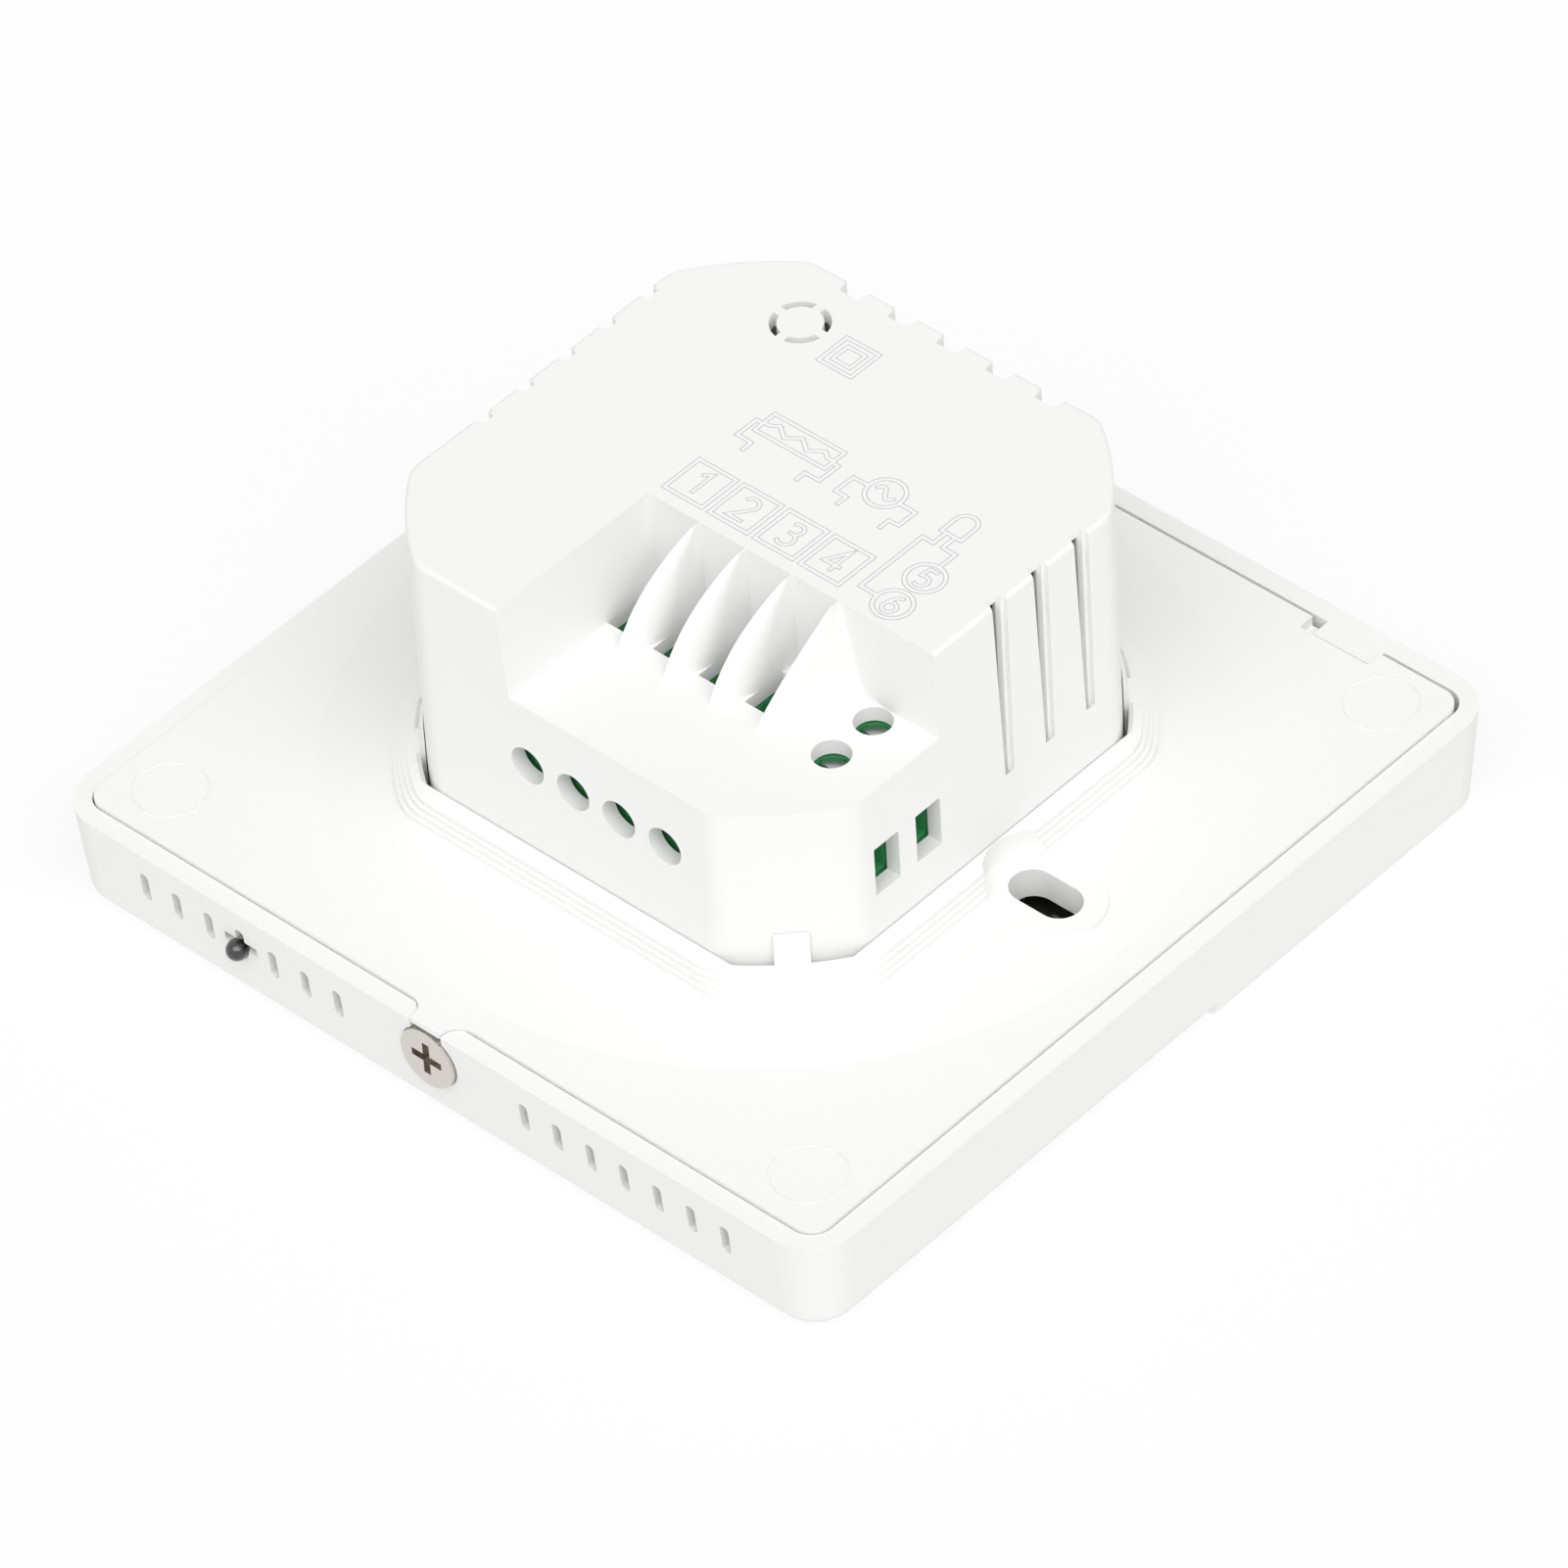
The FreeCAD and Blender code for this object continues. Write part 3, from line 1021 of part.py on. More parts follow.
def pole_seats():
    """Each pole as its name, origin at the screw head's seat, rotation and extra shaft length."""
    lay = FreeCAD.Rotation(FreeCAD.Matrix(0, -1, 0, 0, 0, 0, -1, 0, 1, 0, 0, 0, 0, 0, 0, 1))
    stand = FreeCAD.Rotation()
    seats = []
    for i, x in enumerate(POWER_XS):
        seats.append(("power", i + 1, (x, POWER_SEAT_Y, POWER_SCREW_Z), lay, POWER_EXTRA))
    for i, y in enumerate(SENSOR_YS):
        seats.append(("sensor", i + 1, (SENSOR_X, y, SENSOR_SEAT_Z), stand, 0.0))
    return seats


def terminal_screw(extra):
    """Clamp screw with a slotted head, its seat at Z 0 and its tip below."""
    head = rod(TERM_HEAD_R, (0, 0, 0), TERM_HEAD_T)
    shaft = rod(TERM_SHAFT_R, (0, 0, -TIP_DEPTH - extra), TIP_DEPTH + extra)
    slot = block((-TERM_HEAD_R, -TERM_SLOT_W / 2, TERM_HEAD_T - TERM_SLOT_DEPTH),
                 (TERM_HEAD_R, TERM_SLOT_W / 2, TERM_HEAD_T + PAST))
    return merged([head, shaft]).cut(slot)


def terminal_clamp(extra):
    """Rising clamp: a square tube that the wire passes along X, threaded on the screw."""
    half_y = CLAMP_ACROSS / 2
    half_x = CLAMP_ALONG / 2
    top_z = -CLAMP_REST - extra
    low_z = -CLAMP_END - extra
    tube = block((-half_x, -half_y, low_z), (half_x, half_y, top_z))
    inner_y = half_y - CLAMP_SIDE_T
    inner = block((-half_x - PAST, -inner_y, low_z + CLAMP_PLATE_T),
                  (half_x + PAST, inner_y, top_z - CLAMP_PLATE_T))
    hole = rod(TERM_SHAFT_R + CLAMP_THREAD_GAP, (0, 0, top_z - CLAMP_PLATE_T), CLAMP_PLATE_T)
    return tube.cut([inner, hole])


def terminal_bar(extra):
    """Fixed bar that the wire is pressed against, led down to a pin under the power board."""
    half_w = BAR_W / 2
    low_z = -BAR_DEPTH - BAR_T - extra
    high_z = -BAR_DEPTH - extra
    pin_end = POWER_BOARD_Z - PIN_BELOW_BOARD
    if extra > 0:
        return block((pin_end - POWER_SCREW_Z, -half_w, low_z), (CLAMP_ALONG / 2, half_w, high_z))
    flat = block((-BAR_LEG_BACK, -half_w, low_z), (CLAMP_ALONG / 2, half_w, high_z))
    leg = block((-BAR_LEG_BACK, -half_w, pin_end - SENSOR_SEAT_Z), (-BAR_LEG_BACK + BAR_T, half_w, high_z))
    return merged([flat, leg])


def pole_void(extra, face_z, face_x):
    """Room of one pole in its block: screw bore, clamp travel and wire mouth."""
    room_y = CLAMP_ACROSS / 2 + CLAMP_ROOM
    room_x = CLAMP_ALONG / 2 + CLAMP_END_ROOM
    head = rod(TERM_HEAD_R + TERM_BORE_GAP, (0, 0, 0), face_z + PAST)
    shaft = rod(TERM_SHAFT_R + TERM_SHAFT_GAP, (0, 0, -CLAMP_HEAD_GAP - extra), CLAMP_HEAD_GAP + extra)
    travel = block((-room_x, -room_y, -CLAMP_END - CLAMP_END_ROOM - extra),
                   (room_x, room_y, -CLAMP_HEAD_GAP + TIP_PAST - extra))
    mouth_low = -WIRE_MOUTH - extra
    mouth = block((0, -WIRE_W / 2, mouth_low), (face_x + PAST, WIRE_W / 2, mouth_low + WIRE_L))
    return merged([head, shaft, travel, mouth])


def terminal_bars():
    """The six fixed bars."""
    bars = [placed(terminal_bar(extra), at, turn) for _, _, at, turn, extra in pole_seats()]
    return Part.makeCompound(bars)


def power_terminal_block():
    """Green housing of the four supply and load poles."""
    low = (POWER_XS[0] - BLOCK_WALL_END, POWER_BLOCK_FRONT_Y, POWER_BOARD_TOP)
    back_y = POWER_SEAT_Y + CLAMP_END + CLAMP_END_ROOM + POWER_EXTRA + POWER_BLOCK_BACK_T
    high = (POWER_XS[-1] + BLOCK_WALL_END, back_y, SHELF_UNDER - POWER_TOP_GAP)
    housing = block(low, high)
    face_z = POWER_SEAT_Y - POWER_BLOCK_FRONT_Y
    face_x = high[2] - POWER_SCREW_Z
    voids = [placed(pole_void(extra, face_z, face_x), at, turn)
             for kind, _, at, turn, extra in pole_seats() if kind == "power"]
    return housing.cut(voids + [terminal_bars()])


def sensor_terminal_block():
    """Green housing of the two floor sensor poles."""
    low = (SENSOR_X - SENSOR_BLOCK_BACK, SENSOR_YS[0] - BLOCK_WALL_END, POWER_BOARD_TOP)
    high = (SENSOR_FACE_X, SENSOR_YS[-1] + BLOCK_WALL_END, SHELF_UNDER - SENSOR_TOP_GAP)
    housing = block(low, high)
    face_z = high[2] - SENSOR_SEAT_Z
    face_x = high[0] - SENSOR_X
    voids = [placed(pole_void(extra, face_z, face_x), at, turn)
             for kind, _, at, turn, extra in pole_seats() if kind == "sensor"]
    return housing.cut(voids + [terminal_bars()])


def power_board():
    """Power board inside the casing, held to its posts."""
    half = CASING_INNER - POWER_BOARD_GAP
    board = squared_slab(half, CASING_INNER_R - POWER_BOARD_GAP, POWER_BOARD_Z, POWER_BOARD_TOP)
    holes = [rod(SMALL_SCREW_R + SMALL_HOLE_GAP, (x, y, 0), CASING_TOP_Z) for x, y in POST_AT]
    return board.cut(holes + [terminal_bars()])


def power_board_screws():
    """Three screws from the front side into the casing's posts."""
    return Part.makeCompound([small_screw(x, y, POWER_BOARD_Z, -1) for x, y in POST_AT])


def header_socket():
    """Socket under the power board: one wide trough for the control board's pins."""
    half_x = HEADER_PITCH * HEADER_COUNT / 2 + SOCKET_WALL_T
    half_y = TROUGH_HALF + SOCKET_WALL_T
    low = (-half_x, HEADER_MID_Y - half_y, SOCKET_BOTTOM)
    body = block(low, (half_x, HEADER_MID_Y + half_y, POWER_BOARD_Z))
    trough = block((-half_x + SOCKET_WALL_T, HEADER_MID_Y - TROUGH_HALF, SOCKET_BOTTOM - PAST),
                   (half_x - SOCKET_WALL_T, HEADER_MID_Y + TROUGH_HALF, SOCKET_ROOF_Z))
    return body.cut(trough)


def socket_contacts():
    """Flat spring contacts on both long walls of the socket's trough."""
    strips = []
    for x in header_places():
        for side in (-1, 1):
            near = HEADER_MID_Y + side * (TROUGH_HALF - CONTACT_T)
            far = HEADER_MID_Y + side * TROUGH_HALF
            low = (x - CONTACT_W / 2, min(near, far), SOCKET_BOTTOM + CONTACT_SHORT)
            strips.append(block(low, (x + CONTACT_W / 2, max(near, far), SOCKET_ROOF_Z)))
    return Part.makeCompound(strips)


def soft_box(mid, size):
    """Moulded part on the power board, its upright edges rounded."""
    body = centred(mid, size, POWER_BOARD_TOP)
    upright = [e for e in body.Edges if e.BoundBox.ZLength > size[2] / 2]
    return body.makeFillet(PART_EDGE_R, upright)


def can(mid, radius, height):
    """Round can standing on the power board with a rounded upper edge and a groove near its foot."""
    body = rod(radius, (mid[0], mid[1], POWER_BOARD_TOP), height)
    upper = [e for e in body.Edges if e.BoundBox.ZMin > POWER_BOARD_TOP + height / 2]
    body = body.makeFillet(PART_EDGE_R, upper)
    groove_at = V(mid[0], mid[1], POWER_BOARD_TOP + height / 8)
    groove = Part.makeTorus(radius + PART_EDGE_R / 2, PART_EDGE_R, groove_at)
    return body.cut(groove)


def transformer_bobbin():
    """Foot of the transformer's bobbin on the board."""
    return centred(CORE_MID, (CORE_SIZE[0], WINDING_Y, BOBBIN_FOOT_T), POWER_BOARD_TOP)


def core_windows(gap):
    """The two openings beside the core's middle leg, drawn in by a gap."""
    low_z = POWER_BOARD_TOP + BOBBIN_FOOT_T + CORE_YOKE_T + gap
    tall = CORE_SIZE[2] - 2 * CORE_YOKE_T - 2 * gap
    wide = (CORE_SIZE[0] - CORE_MIDDLE_LEG) / 2 - CORE_LEG_T
    shift = (CORE_MIDDLE_LEG + wide) / 2
    size = (wide - 2 * gap, WINDING_Y, tall)
    return [centred((CORE_MID[0] + s * shift, CORE_MID[1]), size, low_z) for s in (-1, 1)]


def transformer_core():
    """Ferrite core: a frame with a middle leg."""
    frame = centred(CORE_MID, CORE_SIZE, POWER_BOARD_TOP + BOBBIN_FOOT_T)
    return frame.cut(core_windows(0.0))


def transformer_winding():
    """Taped winding through the core's two openings and round its middle leg."""
    sides = core_windows(WINDING_GAP)
    box = sides[0].BoundBox
    across = 2 * abs(box.XMin - CORE_MID[0])
    body = centred(CORE_MID, (across, WINDING_Y, box.ZLength), box.ZMin)
    upright = [e for e in body.Edges if e.BoundBox.ZLength > box.ZLength / 2]
    body = body.makeFillet(WINDING_CORNER_R, upright)
    leg = (CORE_MIDDLE_LEG + 2 * WINDING_GAP, CORE_SIZE[1] + 2 * WINDING_GAP, box.ZLength)
    return body.cut(centred(CORE_MID, leg, box.ZMin))


def varistor():
    """Disc varistor standing on two legs."""
    centre_z = POWER_BOARD_TOP + VARISTOR_LIFT + VARISTOR_R
    disc = rod(VARISTOR_R, (VARISTOR_MID[0], VARISTOR_MID[1] - VARISTOR_T / 2, centre_z), VARISTOR_T, Y_AXIS)
    disc = disc.makeFillet(VARISTOR_T / 4, [e for e in disc.Edges if e.BoundBox.YLength < FLAT])
    feet = [(VARISTOR_MID[0] + s * VARISTOR_R / 2, VARISTOR_MID[1], POWER_BOARD_TOP) for s in (-1, 1)]
    legs = [rod(VARISTOR_LEG_R, foot, VARISTOR_R) for foot in feet]
    return merged([disc] + legs)


def choke():
    """Drum choke: a waist between two flanges."""
    x, y = CHOKE_MID
    waist = rod(CHOKE_WAIST_R, (x, y, POWER_BOARD_TOP), CHOKE_H)
    low = rod(CHOKE_R, (x, y, POWER_BOARD_TOP), CHOKE_FLANGE_T)
    high = rod(CHOKE_R, (x, y, POWER_BOARD_TOP + CHOKE_H - CHOKE_FLANGE_T), CHOKE_FLANGE_T)
    return merged([waist, low, high])


def radio_shield():
    """Tin lid over the radio chips, its upper edges rounded."""
    low_z = BOARD_BACK_Z + RADIO_T
    lid = centred((RADIO_MID_X, RADIO_MID_Y), (SHIELD_X, SHIELD_Y, SHIELD_T), low_z)
    upper = [e for e in lid.Edges if e.BoundBox.ZMin > low_z + SHIELD_T / 2]
    return lid.makeFillet(SHIELD_T / 3, upper)


def buzzer():
    """Round buzzer with a sound hole."""
    body = rod(BUZZER_R, (BUZZER_MID_X, BUZZER_MID_Y, BOARD_BACK_Z), BUZZER_T)
    hole = rod(BUZZER_R / 5, (BUZZER_MID_X, BUZZER_MID_Y, BOARD_BACK_Z + BUZZER_T / 2), BUZZER_T)
    return body.cut(hole)


def all_parts():
    """Every node's name and shape."""
    parts = {
        "front_cover": front_cover(),
        "touch_lens": touch_lens(),
        "lcd_panel": display_sheet(DISPLAY_FRONT, DIFFUSER_FRONT),
        "backlight_diffuser": display_sheet(DIFFUSER_FRONT, DIFFUSER_BACK),
        "display_frame": display_frame(),
        "backlight_lamps": backlight_lamps(),
        "touch_pads": touch_pads(),
        "control_board": control_board(),
        "board_screws": board_screws(),
        "radio_board": centred((RADIO_MID_X, RADIO_MID_Y), (RADIO_X, RADIO_Y, RADIO_T), BOARD_BACK_Z),
        "radio_shield": radio_shield(),
        "microcontroller": centred((CHIP_MID_X, CHIP_MID_Y), (CHIP_SIDE, CHIP_SIDE, CHIP_T), BOARD_BACK_Z),
        "buzzer": buzzer(),
        "header_strip": header_strip(),
        "header_pins": header_pins(),
        "thermistor_bead": thermistor_bead(),
        "thermistor_leads": thermistor_leads(),
        "cover_screw": cover_screw(),
        "mounting_plate": mounting_plate(),
        "rear_casing": rear_casing(),
        "power_board": power_board(),
        "power_board_screws": power_board_screws(),
        "header_socket": header_socket(),
        "socket_contacts": socket_contacts(),
        "relay": soft_box(RELAY_MID, RELAY_SIZE),
        "transformer_bobbin": transformer_bobbin(),
        "transformer_core": transformer_core(),
        "transformer_winding": transformer_winding(),
        "input_capacitor": can(INPUT_CAP_MID, INPUT_CAP_R, INPUT_CAP_H),
        "output_capacitors": Part.makeCompound([can(m, OUTPUT_CAP_R, OUTPUT_CAP_H) for m in OUTPUT_CAPS_MID]),
        "bridge_rectifier": soft_box(BRIDGE_MID, BRIDGE_SIZE),
        "varistor": varistor(),
        "fuse": soft_box(FUSE_MID, FUSE_SIZE),
        "film_capacitor": soft_box(FILM_MID, FILM_SIZE),
        "choke": choke(),
        "supply_chip": soft_box(SUPPLY_MID, SUPPLY_SIZE),
        "optocoupler": soft_box(OPTO_MID, OPTO_SIZE),
        "power_terminal_block": power_terminal_block(),
        "sensor_terminal_block": sensor_terminal_block(),
        "terminal_bars": terminal_bars(),
    }
    for kind, number, at, turn, extra in pole_seats():
        parts[f"{kind}_screw_{number}"] = placed(terminal_screw(extra), at, turn)
        parts[f"{kind}_clamp_{number}"] = placed(terminal_clamp(extra), at, turn)
    return parts


def main():
    """Write one STEP file for each node."""
    os.makedirs("parts", exist_ok=True)
    for name, shape in all_parts().items():
        shape.exportStep(f"parts/{name}.step")
        print(f"{name}: {len(shape.Solids)} solids, {shape.Volume:.1f} mm3")


main()
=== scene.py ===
"""Looks of a wifi thermostat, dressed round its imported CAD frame.

The thermostat lies on its front glass with its wall side up, as in the photograph. X runs along the edge that holds
the cover screw, Y from that edge towards the hooks, and Z from the front glass towards the wall. Sizes in the
classes are millimetres, and every mesh is metres.
"""

import logging
import math
import random
from dataclasses import dataclass
from enum import Enum
from typing import Callable, ClassVar, Sequence

import bmesh
import bpy
from bmesh.types import BMesh, BMFace, BMVert
from bpy.types import ID, Material, Mesh, Node, NodeOutputs, NodeSocket, NodeTree, Object, World
from mathutils import Matrix, Vector


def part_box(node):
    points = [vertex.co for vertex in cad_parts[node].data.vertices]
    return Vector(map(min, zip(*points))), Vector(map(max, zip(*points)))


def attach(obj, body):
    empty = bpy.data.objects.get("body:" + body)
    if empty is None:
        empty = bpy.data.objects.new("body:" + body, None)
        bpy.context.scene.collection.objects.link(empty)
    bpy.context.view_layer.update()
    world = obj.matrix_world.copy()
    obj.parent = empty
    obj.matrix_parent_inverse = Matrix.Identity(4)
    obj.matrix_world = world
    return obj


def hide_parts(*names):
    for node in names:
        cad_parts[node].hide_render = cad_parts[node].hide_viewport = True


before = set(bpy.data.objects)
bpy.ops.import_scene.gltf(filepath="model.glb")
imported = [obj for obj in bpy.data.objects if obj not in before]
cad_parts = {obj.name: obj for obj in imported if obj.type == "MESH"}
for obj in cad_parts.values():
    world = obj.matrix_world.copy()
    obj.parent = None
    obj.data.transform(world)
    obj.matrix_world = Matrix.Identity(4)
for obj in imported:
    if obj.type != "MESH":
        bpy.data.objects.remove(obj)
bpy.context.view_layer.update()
LOG = logging.getLogger("thermostat")
MM = 0.001

# Kinds of values.
Pair = tuple[float, float]
Triple = tuple[float, float, float]
Point = Pair
Colour = Triple
Path = tuple[list[Point], bool]
Value = NodeSocket | float | Sequence[float]

# The Mix node's sockets for colours.
MIX_SHARE, MIX_FIRST, MIX_SECOND, MIX_RESULT = 0, 6, 7, 2

# Colours, and the patterns' scales per metre, strengths and limits.
WHITE = (1.0, 1.0, 1.0, 1.0)
# Painted shade: the near-black painted into each board hole's core stands for the dark inside the bore.
DRILLED_BORE_SHADE = (0.01, 0.01, 0.01, 1.0)
NOISE_MEAN = 0.5
SPECK_SHARE = 0.5
CLOUD_SCALE = 90.0
CLOUD_ROUGHNESS = 0.12
SCRATCH_SCALE = 4000.0
PATCH_SCALE = 400.0
PATCH_TONE = 0.16
LAY_ROUGHNESS = 0.18
TRACK_SCALE = 260.0
TRACK_RANDOM = 0.75
TRACK_HALF_PITCH = 0.11
TRACK_EDGE = (0.045, 0.06)
HOLE_SCALE = 210.0
HOLE_RANDOM = 0.9
RING_EDGE = (0.05, 0.06)
BORE_EDGE = (0.025, 0.03)
EDGE_SAMPLES = 4
COAT_ROUGHNESS = 0.12


# ---------------------------------------------------------------- material tools


class Wiring:
    """Adds and links the nodes of one tree."""

    def __init__(self, tree: NodeTree) -> None:
        """Keeps the tree that the nodes go into."""
        self.tree = tree

    def add(self, kind: str, inputs: dict[str | int, Value] | None = None, **settings: object) -> Node:
        """Adds a node.

        Args:
            kind: the node's class name, without its ShaderNode prefix.
            inputs: values or output sockets for its inputs, by name or number.
            settings: attributes of the node.

        Returns:
            The new node.
        """
        node = self.tree.nodes.new("ShaderNode" + kind)
        for name, value in settings.items():
            setattr(node, name, value)
        for name, value in (inputs or {}).items():
            if isinstance(value, NodeSocket):
                self.link(value, node.inputs[name])
            else:
                node.inputs[name].default_value = value
        return node

    def link(self, source: NodeSocket, target: NodeSocket) -> None:
        """Links an output to an input."""
        self.tree.links.new(source, target)

    def math(self, operation: str, a: Value, b: Value = 0.0) -> NodeSocket:
        """The result of a Math node on two values or sockets."""
        return self.add("Math", {0: a, 1: b}, operation=operation).outputs[0]

    def band(self, value: NodeSocket, low: float, high: float) -> NodeSocket:
        """A value mapped so that low becomes 0 and high becomes 1, clamped."""
        node = self.add("MapRange", {"Value": value, "From Min": low, "From Max": high})
        return node.outputs["Result"]

    def blend(self, share: Value, first: Value, second: Value) -> NodeSocket:
        """The colour that a Mix node makes of two colours.

        Args:
            share: the second colour's share.
            first: the first colour.
            second: the second colour.

        Returns:
            The mixed colour.
        """
        inputs = {MIX_SHARE: share, MIX_FIRST: first, MIX_SECOND: second}
        return self.add("Mix", inputs, data_type="RGBA").outputs[MIX_RESULT]

    def place(self) -> NodeSocket:
        """The piece's own coordinates."""
        return self.add("TexCoord").outputs["Object"]

    def noise(self, place: NodeSocket, scale: Value, detail: float = 3.0, rough: float = 0.55) -> NodeSocket:
        """The value of a noise texture at the given coordinates."""
        return self.add("TexNoise", {"Vector": place, "Scale": scale, "Detail": detail, "Roughness": rough}).outputs[0]


def rgba(colour: Colour) -> tuple[float, float, float, float]:
    """A colour with full alpha."""
    return (*colour, 1.0)


def group(name: str, inputs: dict[str, float | Sequence[float]],
          fill: Callable[[Wiring, NodeOutputs], dict[str, NodeSocket]]) -> NodeTree:
    """A shader node group, built the first time that it is asked for.

    Args:
        name: the group's name.
        inputs: default of each input: a colour, a vector or a number.
        fill: adds the nodes that turn the inputs into the outputs.

    Returns:
        The group.
    """
    found = bpy.data.node_groups.get(name)
    if found:
        return found
    tree = bpy.data.node_groups.new(name, "ShaderNodeTree")
    for label, value in inputs.items():
        kind = {3: "Vector", 4: "Color"}[len(value)] if isinstance(value, tuple) else "Float"
        tree.interface.new_socket(label, in_out="INPUT", socket_type="NodeSocket" + kind).default_value = value
    w = Wiring(tree)
    given = tree.nodes.new("NodeGroupInput").outputs
    results = fill(w, given)
    for label in results:
        kind = "Color" if label == "Colour" else "Float"
        tree.interface.new_socket(label, in_out="OUTPUT", socket_type="NodeSocket" + kind)
    outside = tree.nodes.new("NodeGroupOutput")
    for label, value in results.items():
        w.link(value, outside.inputs[label])
    return tree


def moulding_group() -> NodeTree:
    """Moulded plastic: a fine spark-eroded grain and a faint cloudiness.

    Returns:
        The group.
    """

    def fill(w: Wiring, given: NodeOutputs) -> dict[str, NodeSocket]:
        """Adds the grain and the clouds.

        Args:
            w: the group's wiring.
            given: the group's inputs.

        Returns:
            Colour, roughness and height.
        """
        place = w.place()
        grain = w.noise(place, given["Grain"], detail=4.0)
        clouds = w.noise(place, CLOUD_SCALE, detail=2.0)
        faint = w.math("MULTIPLY", given["Tone"], SPECK_SHARE)
        shade = w.math("MULTIPLY", w.math("SUBTRACT", clouds, NOISE_MEAN), given["Tone"])
        speck = w.math("MULTIPLY", w.math("SUBTRACT", grain, NOISE_MEAN), faint)
        level = w.math("ADD", speck, shade)
        lift = w.add("HueSaturation", {"Color": given["Colour"], "Value": w.math("ADD", level, 1.0)})
        uneven = w.math("MULTIPLY", w.math("SUBTRACT", clouds, NOISE_MEAN), CLOUD_ROUGHNESS)
        rough = w.math("ADD", given["Roughness"], uneven)
        return {"Colour": lift.outputs[0], "Roughness": rough, "Height": grain}

    return group("moulding", {"Colour": (0.8, 0.8, 0.8, 1.0), "Roughness": 0.5, "Grain": 6000.0, "Tone": 0.04}, fill)


def lay_group() -> NodeTree:
    """Machined or rolled metal: long fine scratches along one direction and a dull cast in patches.

    Returns:
        The group.
    """

    def fill(w: Wiring, given: NodeOutputs) -> dict[str, NodeSocket]:
        """Adds the scratches and the patches.

        Args:
            w: the group's wiring.
            given: the group's inputs.

        Returns:
            Colour, roughness and height.
        """
        place = w.place()
        drawn = w.add("Mapping", {"Vector": place, "Scale": given["Stretch"]}).outputs[0]
        scratch = w.noise(drawn, SCRATCH_SCALE, detail=5.0, rough=0.6)
        patch = w.noise(place, PATCH_SCALE)
        level = w.math("ADD", w.math("MULTIPLY", patch, PATCH_TONE), 1.0 - PATCH_TONE * NOISE_MEAN)
        dull = w.add("HueSaturation", {"Color": given["Colour"], "Value": level})
        uneven = w.math("SUBTRACT", w.math("ADD", scratch, patch), 2 * NOISE_MEAN)
        rough = w.math("ADD", given["Roughness"], w.math("MULTIPLY", uneven, LAY_ROUGHNESS))
        return {"Colour": dull.outputs[0], "Roughness": rough, "Height": scratch}

    return group("metal_lay", {"Colour": (0.8, 0.8, 0.8, 1.0), "Roughness": 0.3, "Stretch": (1.0, 1.0, 0.05)}, fill)


def tracks_group() -> NodeTree:
    """Copper tracks and plated holes under a board's solder mask.

    Returns:
        The group.
    """

    def fill(w: Wiring, given: NodeOutputs) -> dict[str, NodeSocket]:
        """Adds the square-cornered tracks and the round holes, with painted shade in their bores.

        Args:
            w: the group's wiring.
            given: the group's inputs.

        Returns:
            Colour, where metal is bare, and height.
        """
        place = w.place()
        flat = w.add("Mapping", {"Vector": place, "Scale": (1, 1, 0)}).outputs[0]
        cell = w.add("TexVoronoi", {"Vector": flat, "Scale": TRACK_SCALE, "Randomness": TRACK_RANDOM},
                     distance="MANHATTAN", voronoi_dimensions="2D")
        ring = w.math("PINGPONG", cell.outputs["Distance"], TRACK_HALF_PITCH)
        track = w.band(ring, *TRACK_EDGE)
        hole = w.add("TexVoronoi", {"Vector": flat, "Scale": HOLE_SCALE, "Randomness": HOLE_RANDOM},
                     voronoi_dimensions="2D")
        via = w.math("SUBTRACT", 1.0, w.band(hole.outputs["Distance"], *RING_EDGE))
        core = w.math("SUBTRACT", 1.0, w.band(hole.outputs["Distance"], *BORE_EDGE))
        base = w.blend(track, given["Mask"], given["Track"])
        plated = w.blend(via, base, given["Plating"])
        height = w.math("SUBTRACT", w.math("MAXIMUM", track, via), core)
        # The core of each hole is painted near-black: painted shade for the open bore.
        return {"Colour": w.blend(core, plated, DRILLED_BORE_SHADE), "Bare": via, "Height": height}

    return group("board_tracks", {"Mask": (0.02, 0.1, 0.04, 1.0), "Track": (0.03, 0.16, 0.06, 1.0),
                                  "Plating": (0.6, 0.58, 0.5, 1.0)}, fill)


def emptied(owner: Material | World) -> Wiring:
    """Empties a material's or a world's tree.

    Args:
        owner: the material or world.

    Returns:
        The wiring of its tree.
    """
    owner.use_nodes = True
    owner.node_tree.nodes.clear()
    return Wiring(owner.node_tree)


def start(name: str) -> tuple[Material, Wiring, Node]:
    """Starts a material.

    Args:
        name: its name.

    Returns:
        The material, its wiring and its main shader.
    """
    made = bpy.data.materials.new(name)
    w = emptied(made)
    shader = w.add("BsdfPrincipled")
    w.add("OutputMaterial", {"Surface": shader.outputs[0]})
    return made, w, shader


def use(w: Wiring, tree: NodeTree, inputs: dict[str, float | Sequence[float]]) -> Node:
    """Places a group in a material.

    Args:
        w: the material's wiring.
        tree: the group.
        inputs: values for its inputs.

    Returns:
        The group's node.
    """
    node = w.add("Group")
    node.node_tree = tree
    for name, value in inputs.items():
        node.inputs[name].default_value = value
    return node


def feed(w: Wiring, body: Node, shader: Node, strength: float, depth: float, edge: float = 0.0) -> None:
    """Links a group's outputs to a shader.

    Args:
        w: the material's wiring.
        body: the group.
        shader: the main shader.
        strength: how strong the bump is.
        depth: how deep the bump is.
        edge: radius that softens edges, or 0.
    """
    bump = w.add("Bump", {"Height": body.outputs["Height"], "Strength": strength, "Distance": depth * MM})
    if edge:
        w.link(w.add("Bevel", {"Radius": edge * MM}, samples=EDGE_SAMPLES).outputs[0], bump.inputs["Normal"])
    for source, target in (("Colour", "Base Color"), ("Roughness", "Roughness"), ("Bare", "Metallic")):
        if source in body.outputs:
            w.link(body.outputs[source], shader.inputs[target])
    w.link(bump.outputs[0], shader.inputs["Normal"])


# ---------------------------------------------------------------- finishes


